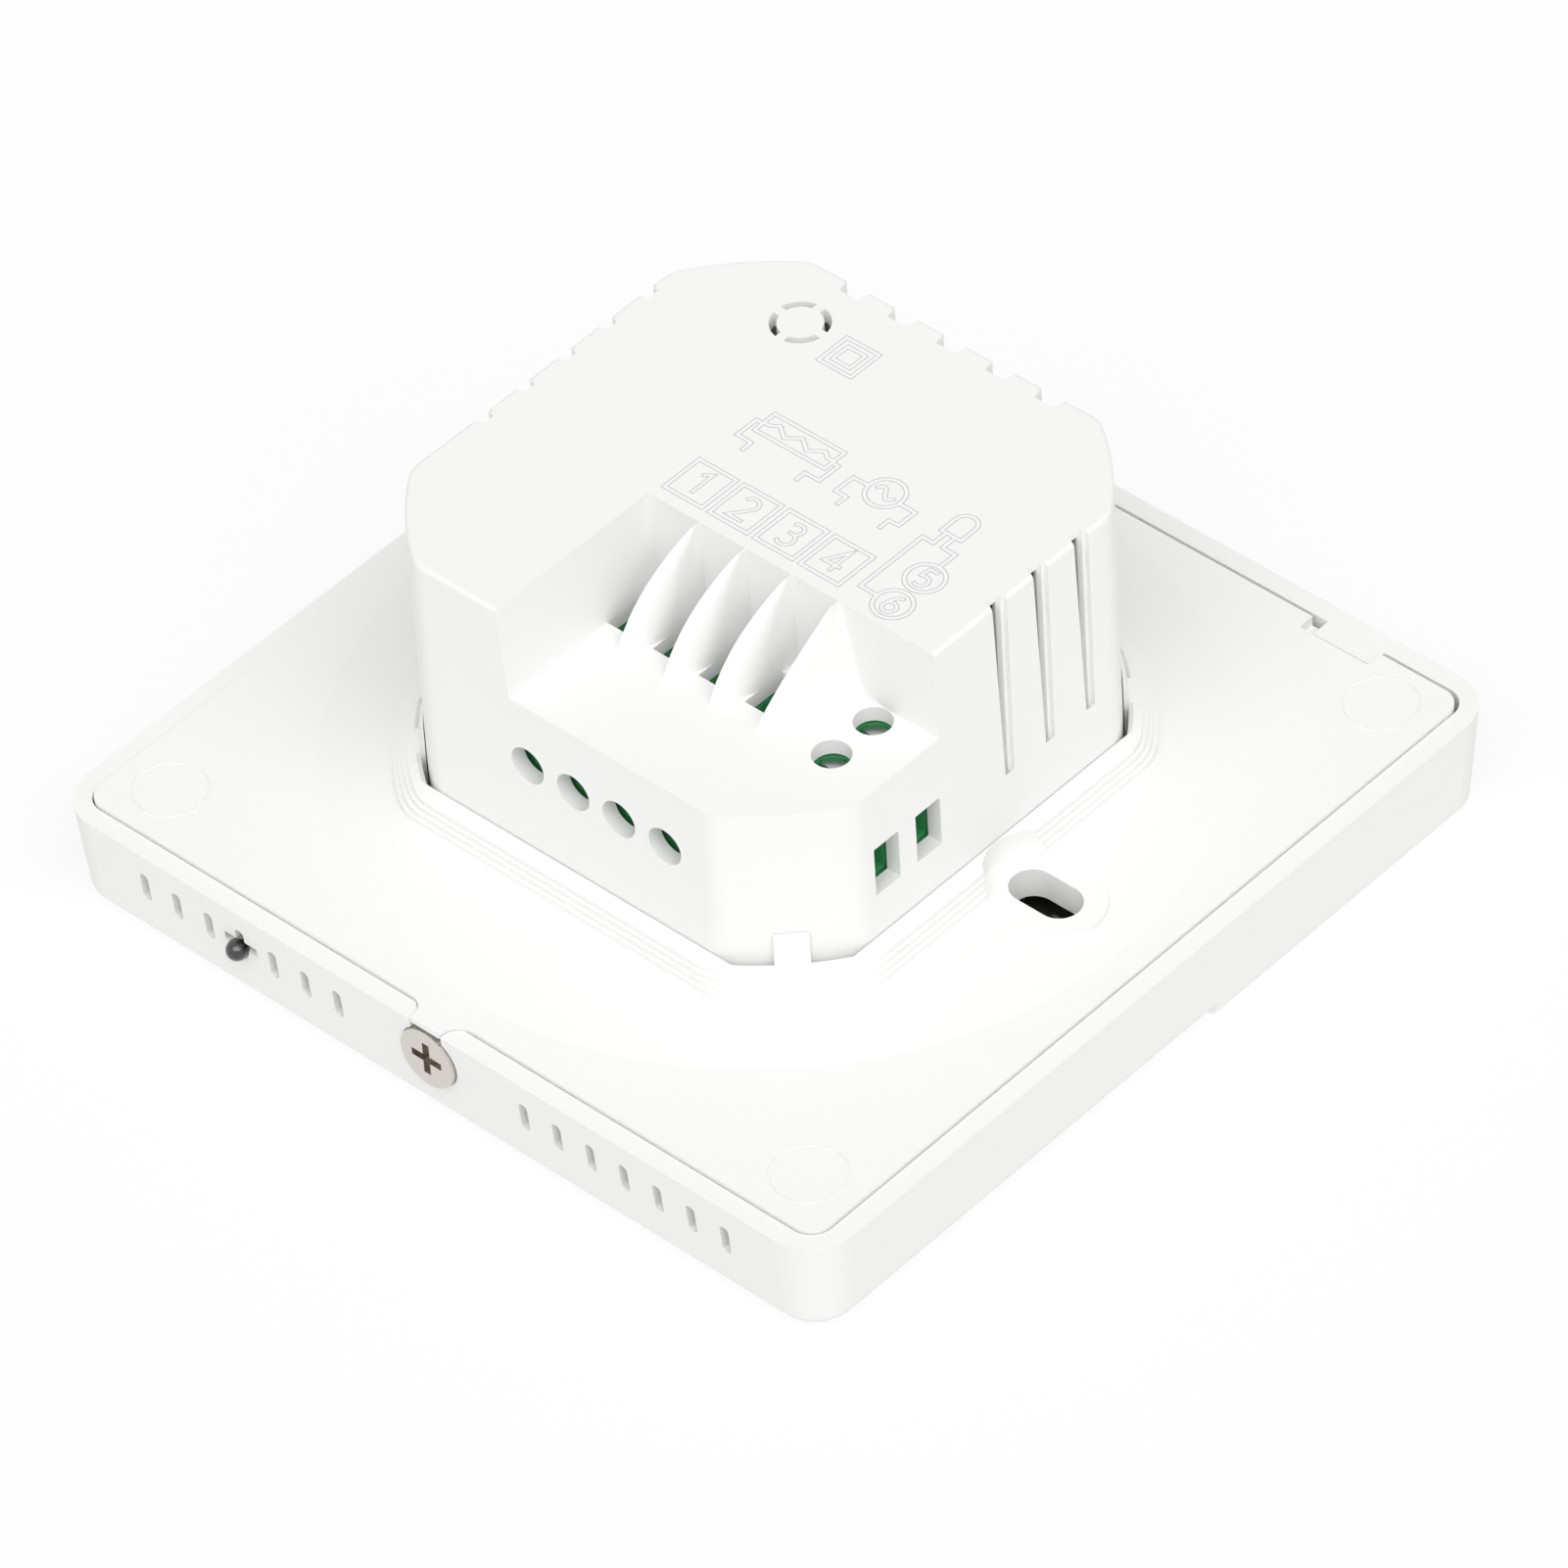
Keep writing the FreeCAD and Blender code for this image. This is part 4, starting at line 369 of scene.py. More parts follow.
@dataclass(frozen=True)
class Moulded:
    """Moulded plastic, rubber or ceramic."""

    name: str
    colour: Colour
    roughness: float = 0.5
    grain: float = 6000.0
    tone: float = 0.04
    relief: float = 0.006
    coat: float = 0.0
    edge: float = 0.0
    bump: float = 0.5

    def make(self) -> Material:
        """Builds the material.

        Returns:
            The material.
        """
        made, w, shader = start(self.name)
        body = use(w, moulding_group(), {"Colour": rgba(self.colour), "Roughness": self.roughness,
                                         "Grain": self.grain, "Tone": self.tone})
        feed(w, body, shader, self.bump, self.relief, self.edge)
        shader.inputs["Coat Weight"].default_value = self.coat
        shader.inputs["Coat Roughness"].default_value = COAT_ROUGHNESS
        return made


@dataclass(frozen=True)
class Metal:
    """Plated, tinned or bare metal with the lay of its making."""

    name: str
    colour: Colour
    roughness: float = 0.3
    stretch: Triple = (1.0, 1.0, 0.05)
    relief: float = 0.004
    bump: float = 0.4

    def make(self) -> Material:
        """Builds the material.

        Returns:
            The material.
        """
        made, w, shader = start(self.name)
        body = use(w, lay_group(), {"Colour": rgba(self.colour), "Roughness": self.roughness,
                                    "Stretch": self.stretch})
        feed(w, body, shader, self.bump, self.relief)
        shader.inputs["Metallic"].default_value = 1.0
        return made


@dataclass(frozen=True)
class Board:
    """Circuit board under a solder mask, with tracks and plated holes."""

    name: str
    mask: Colour
    track: Colour
    roughness: float = 0.32
    relief: float = 0.02
    bump: float = 0.6

    def make(self) -> Material:
        """Builds the material.

        Returns:
            The material.
        """
        made, w, shader = start(self.name)
        body = use(w, tracks_group(), {"Mask": rgba(self.mask), "Track": rgba(self.track)})
        feed(w, body, shader, self.bump, self.relief)
        shader.inputs["Roughness"].default_value = self.roughness
        return made


@dataclass(frozen=True)
class Clear:
    """Clear glass."""

    name: str
    colour: Colour = (0.97, 0.98, 0.98)
    roughness: float = 0.02
    smear: float = 0.04
    smear_scale: float = 60.0
    index: float = 1.5

    def make(self) -> Material:
        """Builds the material, with a faint smear in its gloss.

        Returns:
            The material.
        """
        made, w, shader = start(self.name)
        place = w.place()
        streaks = w.math("MULTIPLY", w.noise(place, self.smear_scale, detail=4.0, rough=0.65), self.smear)
        w.link(w.math("ADD", streaks, self.roughness), shader.inputs["Roughness"])
        shader.inputs["Base Color"].default_value = rgba(self.colour)
        shader.inputs["Transmission Weight"].default_value = 1.0
        shader.inputs["IOR"].default_value = self.index
        return made


@dataclass(frozen=True)
class Sleeve:
    """Shrunk sleeve of a can with a pale stripe down one side, round an upright axis."""

    name: str
    colour: Colour
    stripe: Colour
    axis: Point
    stripe_edge: Pair = (0.42, 0.46)
    roughness: float = 0.24
    grain: float = 900.0
    tone: float = 0.05
    relief: float = 0.02
    bump: float = 0.3

    def make(self) -> Material:
        """Builds the material.

        Returns:
            The material.
        """
        made, w, shader = start(self.name)
        place = w.place()
        centred = w.add("Mapping", {"Vector": place, "Location": (-self.axis[0] * MM, -self.axis[1] * MM, 0)})
        split = w.add("SeparateXYZ", {0: centred.outputs[0]})
        turn = w.math("ARCTAN2", split.outputs["Y"], split.outputs["X"])
        side = w.math("SUBTRACT", 1.0, w.band(w.math("ABSOLUTE", turn), *self.stripe_edge))
        body = use(w, moulding_group(), {"Roughness": self.roughness, "Grain": self.grain, "Tone": self.tone})
        w.link(w.blend(side, rgba(self.colour), rgba(self.stripe)), body.inputs["Colour"])
        feed(w, body, shader, self.bump, self.relief)
        return made


@dataclass(frozen=True)
class Wound:
    """Turns of wire under a band of tape, wound round X."""

    name: str
    colour: Colour
    wave_scale: float = 699.6
    wave_distortion: float = 0.4
    wave_height: float = 0.5
    crease_scale: float = 500.0
    # How much the creases change the tone, and its lowest value. This is painted shade: the tape is darker where the
    # crease bump dips.
    crease_shade_tone: Pair = (0.2, 0.88)
    roughness: float = 0.3
    relief: float = 0.05
    bump: float = 0.5

    def make(self) -> Material:
        """Builds the material.

        Returns:
            The material.
        """
        made, w, shader = start(self.name)
        place = w.place()
        turns = w.add("TexWave", {"Vector": place, "Scale": self.wave_scale, "Distortion": self.wave_distortion},
                      bands_direction="Z")
        crease = w.noise(place, self.crease_scale, detail=4.0)
        gain, base = self.crease_shade_tone
        # Painted shade: the tone follows the bump's crease noise, darker where the tape dips.
        level = w.math("ADD", w.math("MULTIPLY", crease, gain), base)
        tone = w.add("HueSaturation", {"Color": rgba(self.colour), "Value": level})
        height = w.math("ADD", w.math("MULTIPLY", turns.outputs["Fac"], self.wave_height), crease)
        bump = w.add("Bump", {"Height": height, "Strength": self.bump, "Distance": self.relief * MM})
        w.link(tone.outputs[0], shader.inputs["Base Color"])
        w.link(bump.outputs[0], shader.inputs["Normal"])
        shader.inputs["Roughness"].default_value = self.roughness
        return made


class Finish(Enum):
    """Every finish of the thermostat."""

    HOUSING = Moulded("white_housing", (0.92, 0.92, 0.922), 0.5, 7000.0, 0.006, 0.003)
    MARK = Moulded("raised_mark", (0.92, 0.92, 0.922), 0.45, 7000.0, 0.006, 0.002)
    # The raised marks' banks and sides are painted grey: painted shade along both edges of each white stroke.
    MARK_EDGE = Moulded("raised_mark_edge_shade", (0.6, 0.6, 0.6), 0.6, 7000.0, 0.02, 0.002)
    PRINTED_GLASS = Moulded("front_glass_print", (0.012, 0.012, 0.013), 0.08, 300.0, 0.1, 0.001, coat=1.0)
    WINDOW = Clear("front_glass_window")
    KEY_PRINT = Moulded("key_print", (0.62, 0.63, 0.64), 0.35, 4000.0, 0.03, 0.001)
    DISPLAY = Moulded("display_cell", (0.014, 0.016, 0.018), 0.12, 250.0, 0.15, 0.001, coat=0.8)
    SEGMENT = Moulded("display_segment", (0.19, 0.2, 0.205), 0.3, 3000.0, 0.05, 0.001)
    DIFFUSER = Moulded("diffuser", (0.84, 0.85, 0.86), 0.5, 2500.0, 0.02, 0.01)
    BLACK_PLASTIC = Moulded("black_plastic", (0.022, 0.022, 0.023), 0.42, 5000.0, 0.12, 0.01)
    LAMP = Moulded("lamp_body", (0.86, 0.8, 0.5), 0.35, 3000.0, 0.06, 0.004, coat=0.5)
    RUBBER = Moulded("key_spring_rubber", (0.03, 0.03, 0.031), 0.75, 3500.0, 0.15, 0.012)
    BLACK_BOARD = Board("black_board", (0.012, 0.013, 0.013), (0.03, 0.032, 0.032))
    GREEN_BOARD = Board("green_board", (0.01, 0.09, 0.03), (0.02, 0.17, 0.055))
    TIN = Metal("tinned_shield", (0.72, 0.72, 0.7), 0.32, (0.05, 1.0, 1.0))
    CHIP = Moulded("chip_epoxy", (0.02, 0.02, 0.021), 0.48, 5000.0, 0.15, 0.01)
    GOLD = Metal("gold_plate", (0.83, 0.62, 0.27), 0.25)
    BEAD = Moulded("bead_epoxy", (0.011, 0.011, 0.012), 0.1, 1500.0, 0.1, 0.008, coat=1.0)
    LEAD = Moulded("lead_enamel", (0.16, 0.06, 0.03), 0.3, 2500.0, 0.12, 0.006, coat=0.4)
    NICKEL = Metal("nickel_plate", (0.66, 0.62, 0.575), 0.27, (0.25, 1.0, 0.25))
    RELAY = Moulded("relay_case", (0.012, 0.035, 0.12), 0.38, 4500.0, 0.08, 0.008, edge=0.2)
    FERRITE = Moulded("ferrite", (0.045, 0.045, 0.047), 0.6, 1800.0, 0.3, 0.03)
    TAPE = Wound("winding_tape", (0.75, 0.55, 0.03))
    VARISTOR = Moulded("varistor_coat", (0.02, 0.085, 0.27), 0.35, 1400.0, 0.12, 0.02)
    FUSE = Moulded("fuse_case", (0.19, 0.06, 0.03), 0.4, 3500.0, 0.08, 0.006)
    FILM = Moulded("film_case", (0.72, 0.5, 0.05), 0.4, 3500.0, 0.06, 0.006, edge=0.15)
    GREEN_TERMINAL = Moulded("green_terminal", (0.075, 0.34, 0.14), 0.42, 4500.0, 0.06, 0.006, edge=0.1)
    BAR = Metal("tinned_bar", (0.7, 0.68, 0.62), 0.34, (1.0, 0.05, 1.0))
    ZINC = Metal("zinc_plate", (0.66, 0.67, 0.66), 0.33, (1.0, 0.2, 1.0))
    CERAMIC = Moulded("small_capacitor", (0.42, 0.28, 0.16), 0.4, 3000.0, 0.1, 0.004)
    SOLDER = Metal("solder", (0.66, 0.66, 0.65), 0.3, (1.0, 1.0, 1.0))

    def material(self) -> Material:
        """The finish's material, built the first time that it is used."""
        return bpy.data.materials.get(self.value.name) or self.value.make()


# ---------------------------------------------------------------- mesh tools


def paint(piece: Object, material: Material) -> Object:
    """Gives an object one material in place of what it had.

    Args:
        piece: the object.
        material: the material.

    Returns:
        The object.
    """
    piece.data.materials.clear()
    piece.data.materials.append(material)
    return piece


def dress(finish: Finish, *nodes: str) -> list[Object]:
    """Gives CAD nodes a finish.

    Args:
        finish: the finish.
        nodes: the names of the nodes.

    Returns:
        The nodes' objects.
    """
    return [paint(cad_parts[name], finish.material()) for name in nodes]


def dress_all(plan: dict[Finish, Sequence[str]]) -> list[Object]:
    """Gives each finish's CAD nodes that finish."""
    return [piece for finish, names in plan.items() for piece in dress(finish, *names)]


def linked(name: str, data: ID) -> Object:
    """Puts data in the scene.

    Args:
        name: the object's name.
        data: its data.

    Returns:
        The new object.
    """
    made = bpy.data.objects.new(name, data)
    bpy.context.scene.collection.objects.link(made)
    return made


def mesh_of(bm: BMesh, name: str) -> Mesh:
    """Turns a bmesh into a mesh.

    Args:
        bm: the bmesh, which is freed.
        name: the mesh's name.

    Returns:
        The mesh.
    """
    mesh = bpy.data.meshes.new(name)
    bm.to_mesh(mesh)
    bm.free()
    return mesh


def points_of(made: dict[str, list]) -> list[BMVert]:
    """The vertices that an operator made."""
    return [v for v in made["geom"] if isinstance(v, BMVert)]


def soften(bm: BMesh, geom: Sequence, offset: float, segments: int, affect: str = "EDGES",
           clamp: bool = False) -> None:
    """Breaks or rounds edges, or corners where affect says VERTICES."""
    bmesh.ops.bevel(bm, geom=list(geom), offset=offset, offset_type="OFFSET", affect=affect, segments=segments,
                    profile=0.5, material=-1, clamp_overlap=clamp)


def piece_from(bm: BMesh, name: str, body: str, finishes: Sequence[Finish]) -> Object:
    """Turns a bmesh in millimetres into a finished piece.

    Args:
        bm: the mesh, which is freed.
        name: the piece's name.
        body: the CAD body that it rides on.
        finishes: its materials, in the order of the mesh's material numbers.

    Returns:
        The piece.
    """
    bmesh.ops.transform(bm, matrix=Matrix.Scale(MM, 4), verts=bm.verts)
    piece = linked(name, mesh_of(bm, name))
    for finish in finishes:
        piece.data.materials.append(finish.material())
    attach(piece, body)
    return piece


def add_block(bm: BMesh, low: Sequence[float], high: Sequence[float], bevel: float = 0.0, material: int = 0) -> None:
    """Adds a block with its edges broken.

    Args:
        bm: the mesh that it goes into.
        low: its lowest corner.
        high: its highest corner.
        bevel: how far its edges are broken.
        material: its material number.
    """
    size = [b - a for a, b in zip(low, high)]
    middle = [(a + b) / 2 for a, b in zip(low, high)]
    before = set(bm.faces)
    made = bmesh.ops.create_cube(bm, size=1.0, matrix=Matrix.LocRotScale(Vector(middle), None, Vector(size)))
    if bevel:
        soften(bm, {e for v in made["verts"] for e in v.link_edges}, bevel, segments=2, clamp=True)
    for face in set(bm.faces) - before:
        face.material_index = material


def line(*points: Point) -> Path:
    """An open path through points."""
    return list(points), False


def loop(*points: Point) -> Path:
    """A closed path through points."""
    return list(points), True


def arc(x: float, y: float, radius: float, start_deg: float, end_deg: float, steps: int = 16) -> list[Point]:
    """Points along an arc."""
    angles = [math.radians(start_deg + (end_deg - start_deg) * i / steps) for i in range(steps + 1)]
    return [(x + radius * math.cos(a), y + radius * math.sin(a)) for a in angles]


def circle(x: float, y: float, radius: float, steps: int = 40) -> Path:
    """A closed circle."""
    return arc(x, y, radius, 0, 360, steps)[:-1], True


def box_path(x: float, y: float, half_x: float, half_y: float) -> Path:
    """A closed rectangle about its middle."""
    return loop((x - half_x, y - half_y), (x + half_x, y - half_y), (x + half_x, y + half_y), (x - half_x, y + half_y))


def placed(paths: Sequence[Path], x: float, y: float, size: float = 1.0) -> list[Path]:
    """Paths drawn about 0, 0, at their size and place."""
    return [([(x + px * size, y + py * size) for px, py in points], closed) for points, closed in paths]


@dataclass(frozen=True)
class Stroke:
    """A raised line of one width, with shallow banks along both sides."""

    width: float
    height: float
    bank: float = 0.0
    # The height of the banks' feet, and how far the walls reach below the face.
    foot: float = 0.012
    sunk: float = 0.02
    # How close points merge, how flat faces join, and how far up a top's normal points.
    weld: float = 0.004
    flat_deg: float = 1.0
    upward: float = 0.9

    def walls(self, paths: Sequence[Path]) -> Object:
        """Upright walls along paths, thickened to the stroke's width by a modifier.

        Args:
            paths: point lists, each with whether it closes.

        Returns:
            An object that carries the walls.
        """
        wires = bmesh.new()
        for points, closed in paths:
            verts = [wires.verts.new((x, y, -self.sunk)) for x, y in points]
            ends = verts[1:] + verts[:1] if closed else verts[1:]
            for a, b in zip(verts, ends):
                wires.edges.new((a, b))
        raised = bmesh.ops.extrude_edge_only(wires, edges=wires.edges[:])
        bmesh.ops.translate(wires, verts=points_of(raised), vec=(0, 0, self.sunk + self.height))
        holder = linked("stroke", mesh_of(wires, "stroke"))
        thick = holder.modifiers.new("width", "SOLIDIFY")
        thick.thickness, thick.offset, thick.use_even_offset = self.width, 0.0, True
        return holder

    def mesh(self, paths: Sequence[Path]) -> BMesh:
        """One solid along paths, of the stroke's width and banked along the top.

        Args:
            paths: point lists, each with whether it closes.

        Returns:
            A bmesh in millimetres that stands on Z 0. Its banks and sides are material 1.
        """
        parts = [self.walls([path]) for path in paths]
        for part in parts[1:]:
            union = parts[0].modifiers.new("union", "BOOLEAN")
            union.operation, union.solver, union.object, union.use_self = "UNION", "EXACT", part, True
        bpy.context.view_layer.update()
        solid = bmesh.new()
        solid.from_object(parts[0], bpy.context.evaluated_depsgraph_get())
        for part in parts:
            bpy.data.objects.remove(part)
        bmesh.ops.remove_doubles(solid, verts=solid.verts, dist=self.weld)
        bmesh.ops.dissolve_limit(solid, angle_limit=math.radians(self.flat_deg), verts=solid.verts, edges=solid.edges)
        bmesh.ops.recalc_face_normals(solid, faces=solid.faces[:])
        tops = [f for f in solid.faces if f.normal.z > self.upward]
        if self.bank:
            outer = {v for f in tops for v in f.verts}
            bmesh.ops.inset_region(solid, faces=tops, thickness=self.bank, use_even_offset=True, use_boundary=True)
            for v in outer:
                v.co.z = self.foot
        kept = {f for f in tops if f.is_valid}
        for face in solid.faces:
            face.material_index = 0 if face in kept else 1
        return solid


def turn_to_front(bm: BMesh, z: float) -> BMesh:
    """Turns a mesh drawn as a viewer in front sees it, so that it lies on a face that looks to -Z.

    Args:
        bm: the mesh, with X to the viewer's right.
        z: the height of the face.

    Returns:
        The same mesh.
    """
    bmesh.ops.rotate(bm, verts=bm.verts, cent=(0, 0, 0), matrix=Matrix.Rotation(math.pi, 3, "Y"))
    bmesh.ops.translate(bm, verts=bm.verts, vec=(0, 0, z))
    return bm


def node_box(name: str) -> tuple[Vector, Vector]:
    """A CAD node's lowest and highest corner in millimetres."""
    low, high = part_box(name)
    return low / MM, high / MM


# ---------------------------------------------------------------- sub-assemblies


@dataclass
class Housing:
    """White cover, mounting plate and casing."""

    nodes: tuple[str, ...] = ("front_cover", "mounting_plate", "rear_casing")

    def build(self) -> list[Object]:
        """Dresses the three mouldings."""
        return dress(Finish.HOUSING, *self.nodes)


@dataclass
class CasingMarks:
    """Raised sketch of the connections on the casing's top, with plain numbers for the six terminals."""

    stroke: Stroke = Stroke(0.46, 0.035, 0.1)
    digit_stroke: Stroke = Stroke(0.42, 0.035, 0.1)
    box_first: Point = (-4.35, -2.33)
    box_half: Pair = (2.08, 2.15)
    box_pitch: float = 5.0
    box_count: int = 4
    round_first: Point = (17.69, 0.57)
    round_second: Point = (17.72, -3.42)
    round_r: float = 1.7
    source: Point = (8.3, 6.3)
    source_r: float = 1.73
    square: Point = (-5.3, 17.05)
    square_half: Pair = (1.78, 0.97)
    digit_h: float = 2.75
    round_digit_h: float = 2.15
    wave_start: Point = (7.2, 6.3)
    wave_size: Pair = (2.2, 0.55)
    wave_steps: int = 20
    # The load's middle and half sides, and the middle and radius of the sensor's round top.
    load: tuple[float, float, float, float] = (-1.48, 6.66, 3.86, 1.25)
    sensor: Triple = (15.92, 7.55, 1.05)
    sensor_foot: float = 5.8
    wires: ClassVar[tuple[Sequence[Point], ...]] = (
        ((-5.34, 6.55), (-4.7, 6.55), (-4.0, 7.05), (-2.75, 6.15), (-1.5, 7.05), (-0.25, 6.15), (1.0, 7.05),
         (1.7, 6.55), (2.38, 6.55)),
        ((-5.34, 6.4), (-6.02, 6.42), (-6.08, 4.08), (-4.5, 4.02), (-4.45, 2.75)),
        ((2.38, 6.35), (3.08, 6.35), (3.02, 4.06), (1.46, 4.02), (1.48, 2.8)),
        ((6.57, 6.15), (4.96, 6.1), (4.9, 3.98), (6.1, 3.94), (6.1, 2.7)),
        ((10.03, 6.05), (11.78, 6.05), (11.76, 4.02), (10.72, 3.98), (10.72, 2.7)))
    sensor_wires: ClassVar[tuple[Sequence[Point], ...]] = (
        ((15.38, 5.8), (15.38, 4.2), (14.18, 4.2), (14.2, -3.42), (15.94, -3.42)),
        ((16.35, 5.8), (16.35, 4.25), (17.76, 4.2), (17.72, 2.35)))
    # Each digit's strokes about its middle, one high.
    digits: ClassVar[dict[int, Sequence[Path]]] = {
        1: [line((-0.22, 0.3), (0.06, 0.5), (0.06, -0.5))],
        2: [line(*arc(0.0, 0.24, 0.26, 165, -35, 12), (-0.28, -0.5), (0.3, -0.5))],
        3: [line(*arc(-0.01, 0.26, 0.24, 150, -70, 12)), line(*arc(-0.01, -0.22, 0.28, 80, -150, 14)),
            line((-0.14, 0.04), (0.08, 0.04))],
        4: [line((0.12, -0.5), (0.12, 0.5), (-0.32, -0.2), (0.34, -0.2))],
        5: [line((0.26, 0.5), (-0.18, 0.5), (-0.23, 0.05), (0.0, 0.1), (0.2, 0.02), (0.28, -0.18), (0.2, -0.4),
                 (0.0, -0.5), (-0.24, -0.42))],
        6: [line((0.22, 0.5), (-0.04, 0.36), (-0.22, 0.1), *arc(0.0, -0.21, 0.29, 180, 450, 16), (-0.26, 0.02))]}

    def sketch(self) -> list[Path]:
        """Draws the boxes, circles, load, source, sensor and the lines between them.

        Returns:
            The paths.
        """
        left, right = self.sensor[0] - self.sensor[2], self.sensor[0] + self.sensor[2]
        (x, y), (wide, high) = self.wave_start, self.wave_size
        shares = [i / self.wave_steps for i in range(self.wave_steps + 1)]
        wave = [(x + wide * share, y + high * math.sin(2 * math.pi * share)) for share in shares]
        first = [box_path(self.box_first[0] + self.box_pitch * i, self.box_first[1], *self.box_half)
                 for i in range(self.box_count)]
        return first + [
            circle(*self.round_first, self.round_r), circle(*self.round_second, self.round_r),
            circle(*self.source, self.source_r), line(*wave), box_path(*self.load),
            *(line(*wire) for wire in self.wires),
            loop((left, self.sensor_foot), (right, self.sensor_foot), *arc(*self.sensor, 0, 180, 18)),
            *(line(*wire) for wire in self.sensor_wires)]

    def build(self) -> list[Object]:
        """Builds the sketch, the numbers and the double square.

        Returns:
            The three pieces.
        """
        top = node_box("rear_casing")[1].z
        numbers = []
        for i in range(self.box_count):
            x = self.box_first[0] + self.box_pitch * i
            numbers += placed(self.digits[i + 1], x, self.box_first[1], self.digit_h)
        numbers += placed(self.digits[5], *self.round_first, self.round_digit_h)
        numbers += placed(self.digits[6], *self.round_second, self.round_digit_h)
        squares = [box_path(*self.square, half, half) for half in self.square_half]
        made = []
        for name, stroke, paths in (("wiring_sketch", self.stroke, self.sketch()),
                                    ("terminal_numbers", self.digit_stroke, numbers),
                                    ("double_square", self.stroke, squares)):
            bm = stroke.mesh(paths)
            bmesh.ops.translate(bm, verts=bm.verts, vec=(0, 0, top))
            # Material 1, the banks and sides, carries painted shade along the strokes' edges.
            made.append(piece_from(bm, name, "base", (Finish.MARK, Finish.MARK_EDGE)))
        return made


class Segment(Enum):
    """The seven strokes of a display digit, as ends in a cell one wide and two high."""

    TOP = ((0.12, 2.0), (0.88, 2.0))
    RIGHT_HIGH = ((1.0, 1.9), (1.0, 1.1))
    RIGHT_LOW = ((1.0, 0.9), (1.0, 0.1))
    BOTTOM = ((0.12, 0.0), (0.88, 0.0))
    LEFT_LOW = ((0.0, 0.9), (0.0, 0.1))
    LEFT_HIGH = ((0.0, 1.9), (0.0, 1.1))
    MIDDLE = ((0.12, 1.0), (0.88, 1.0))


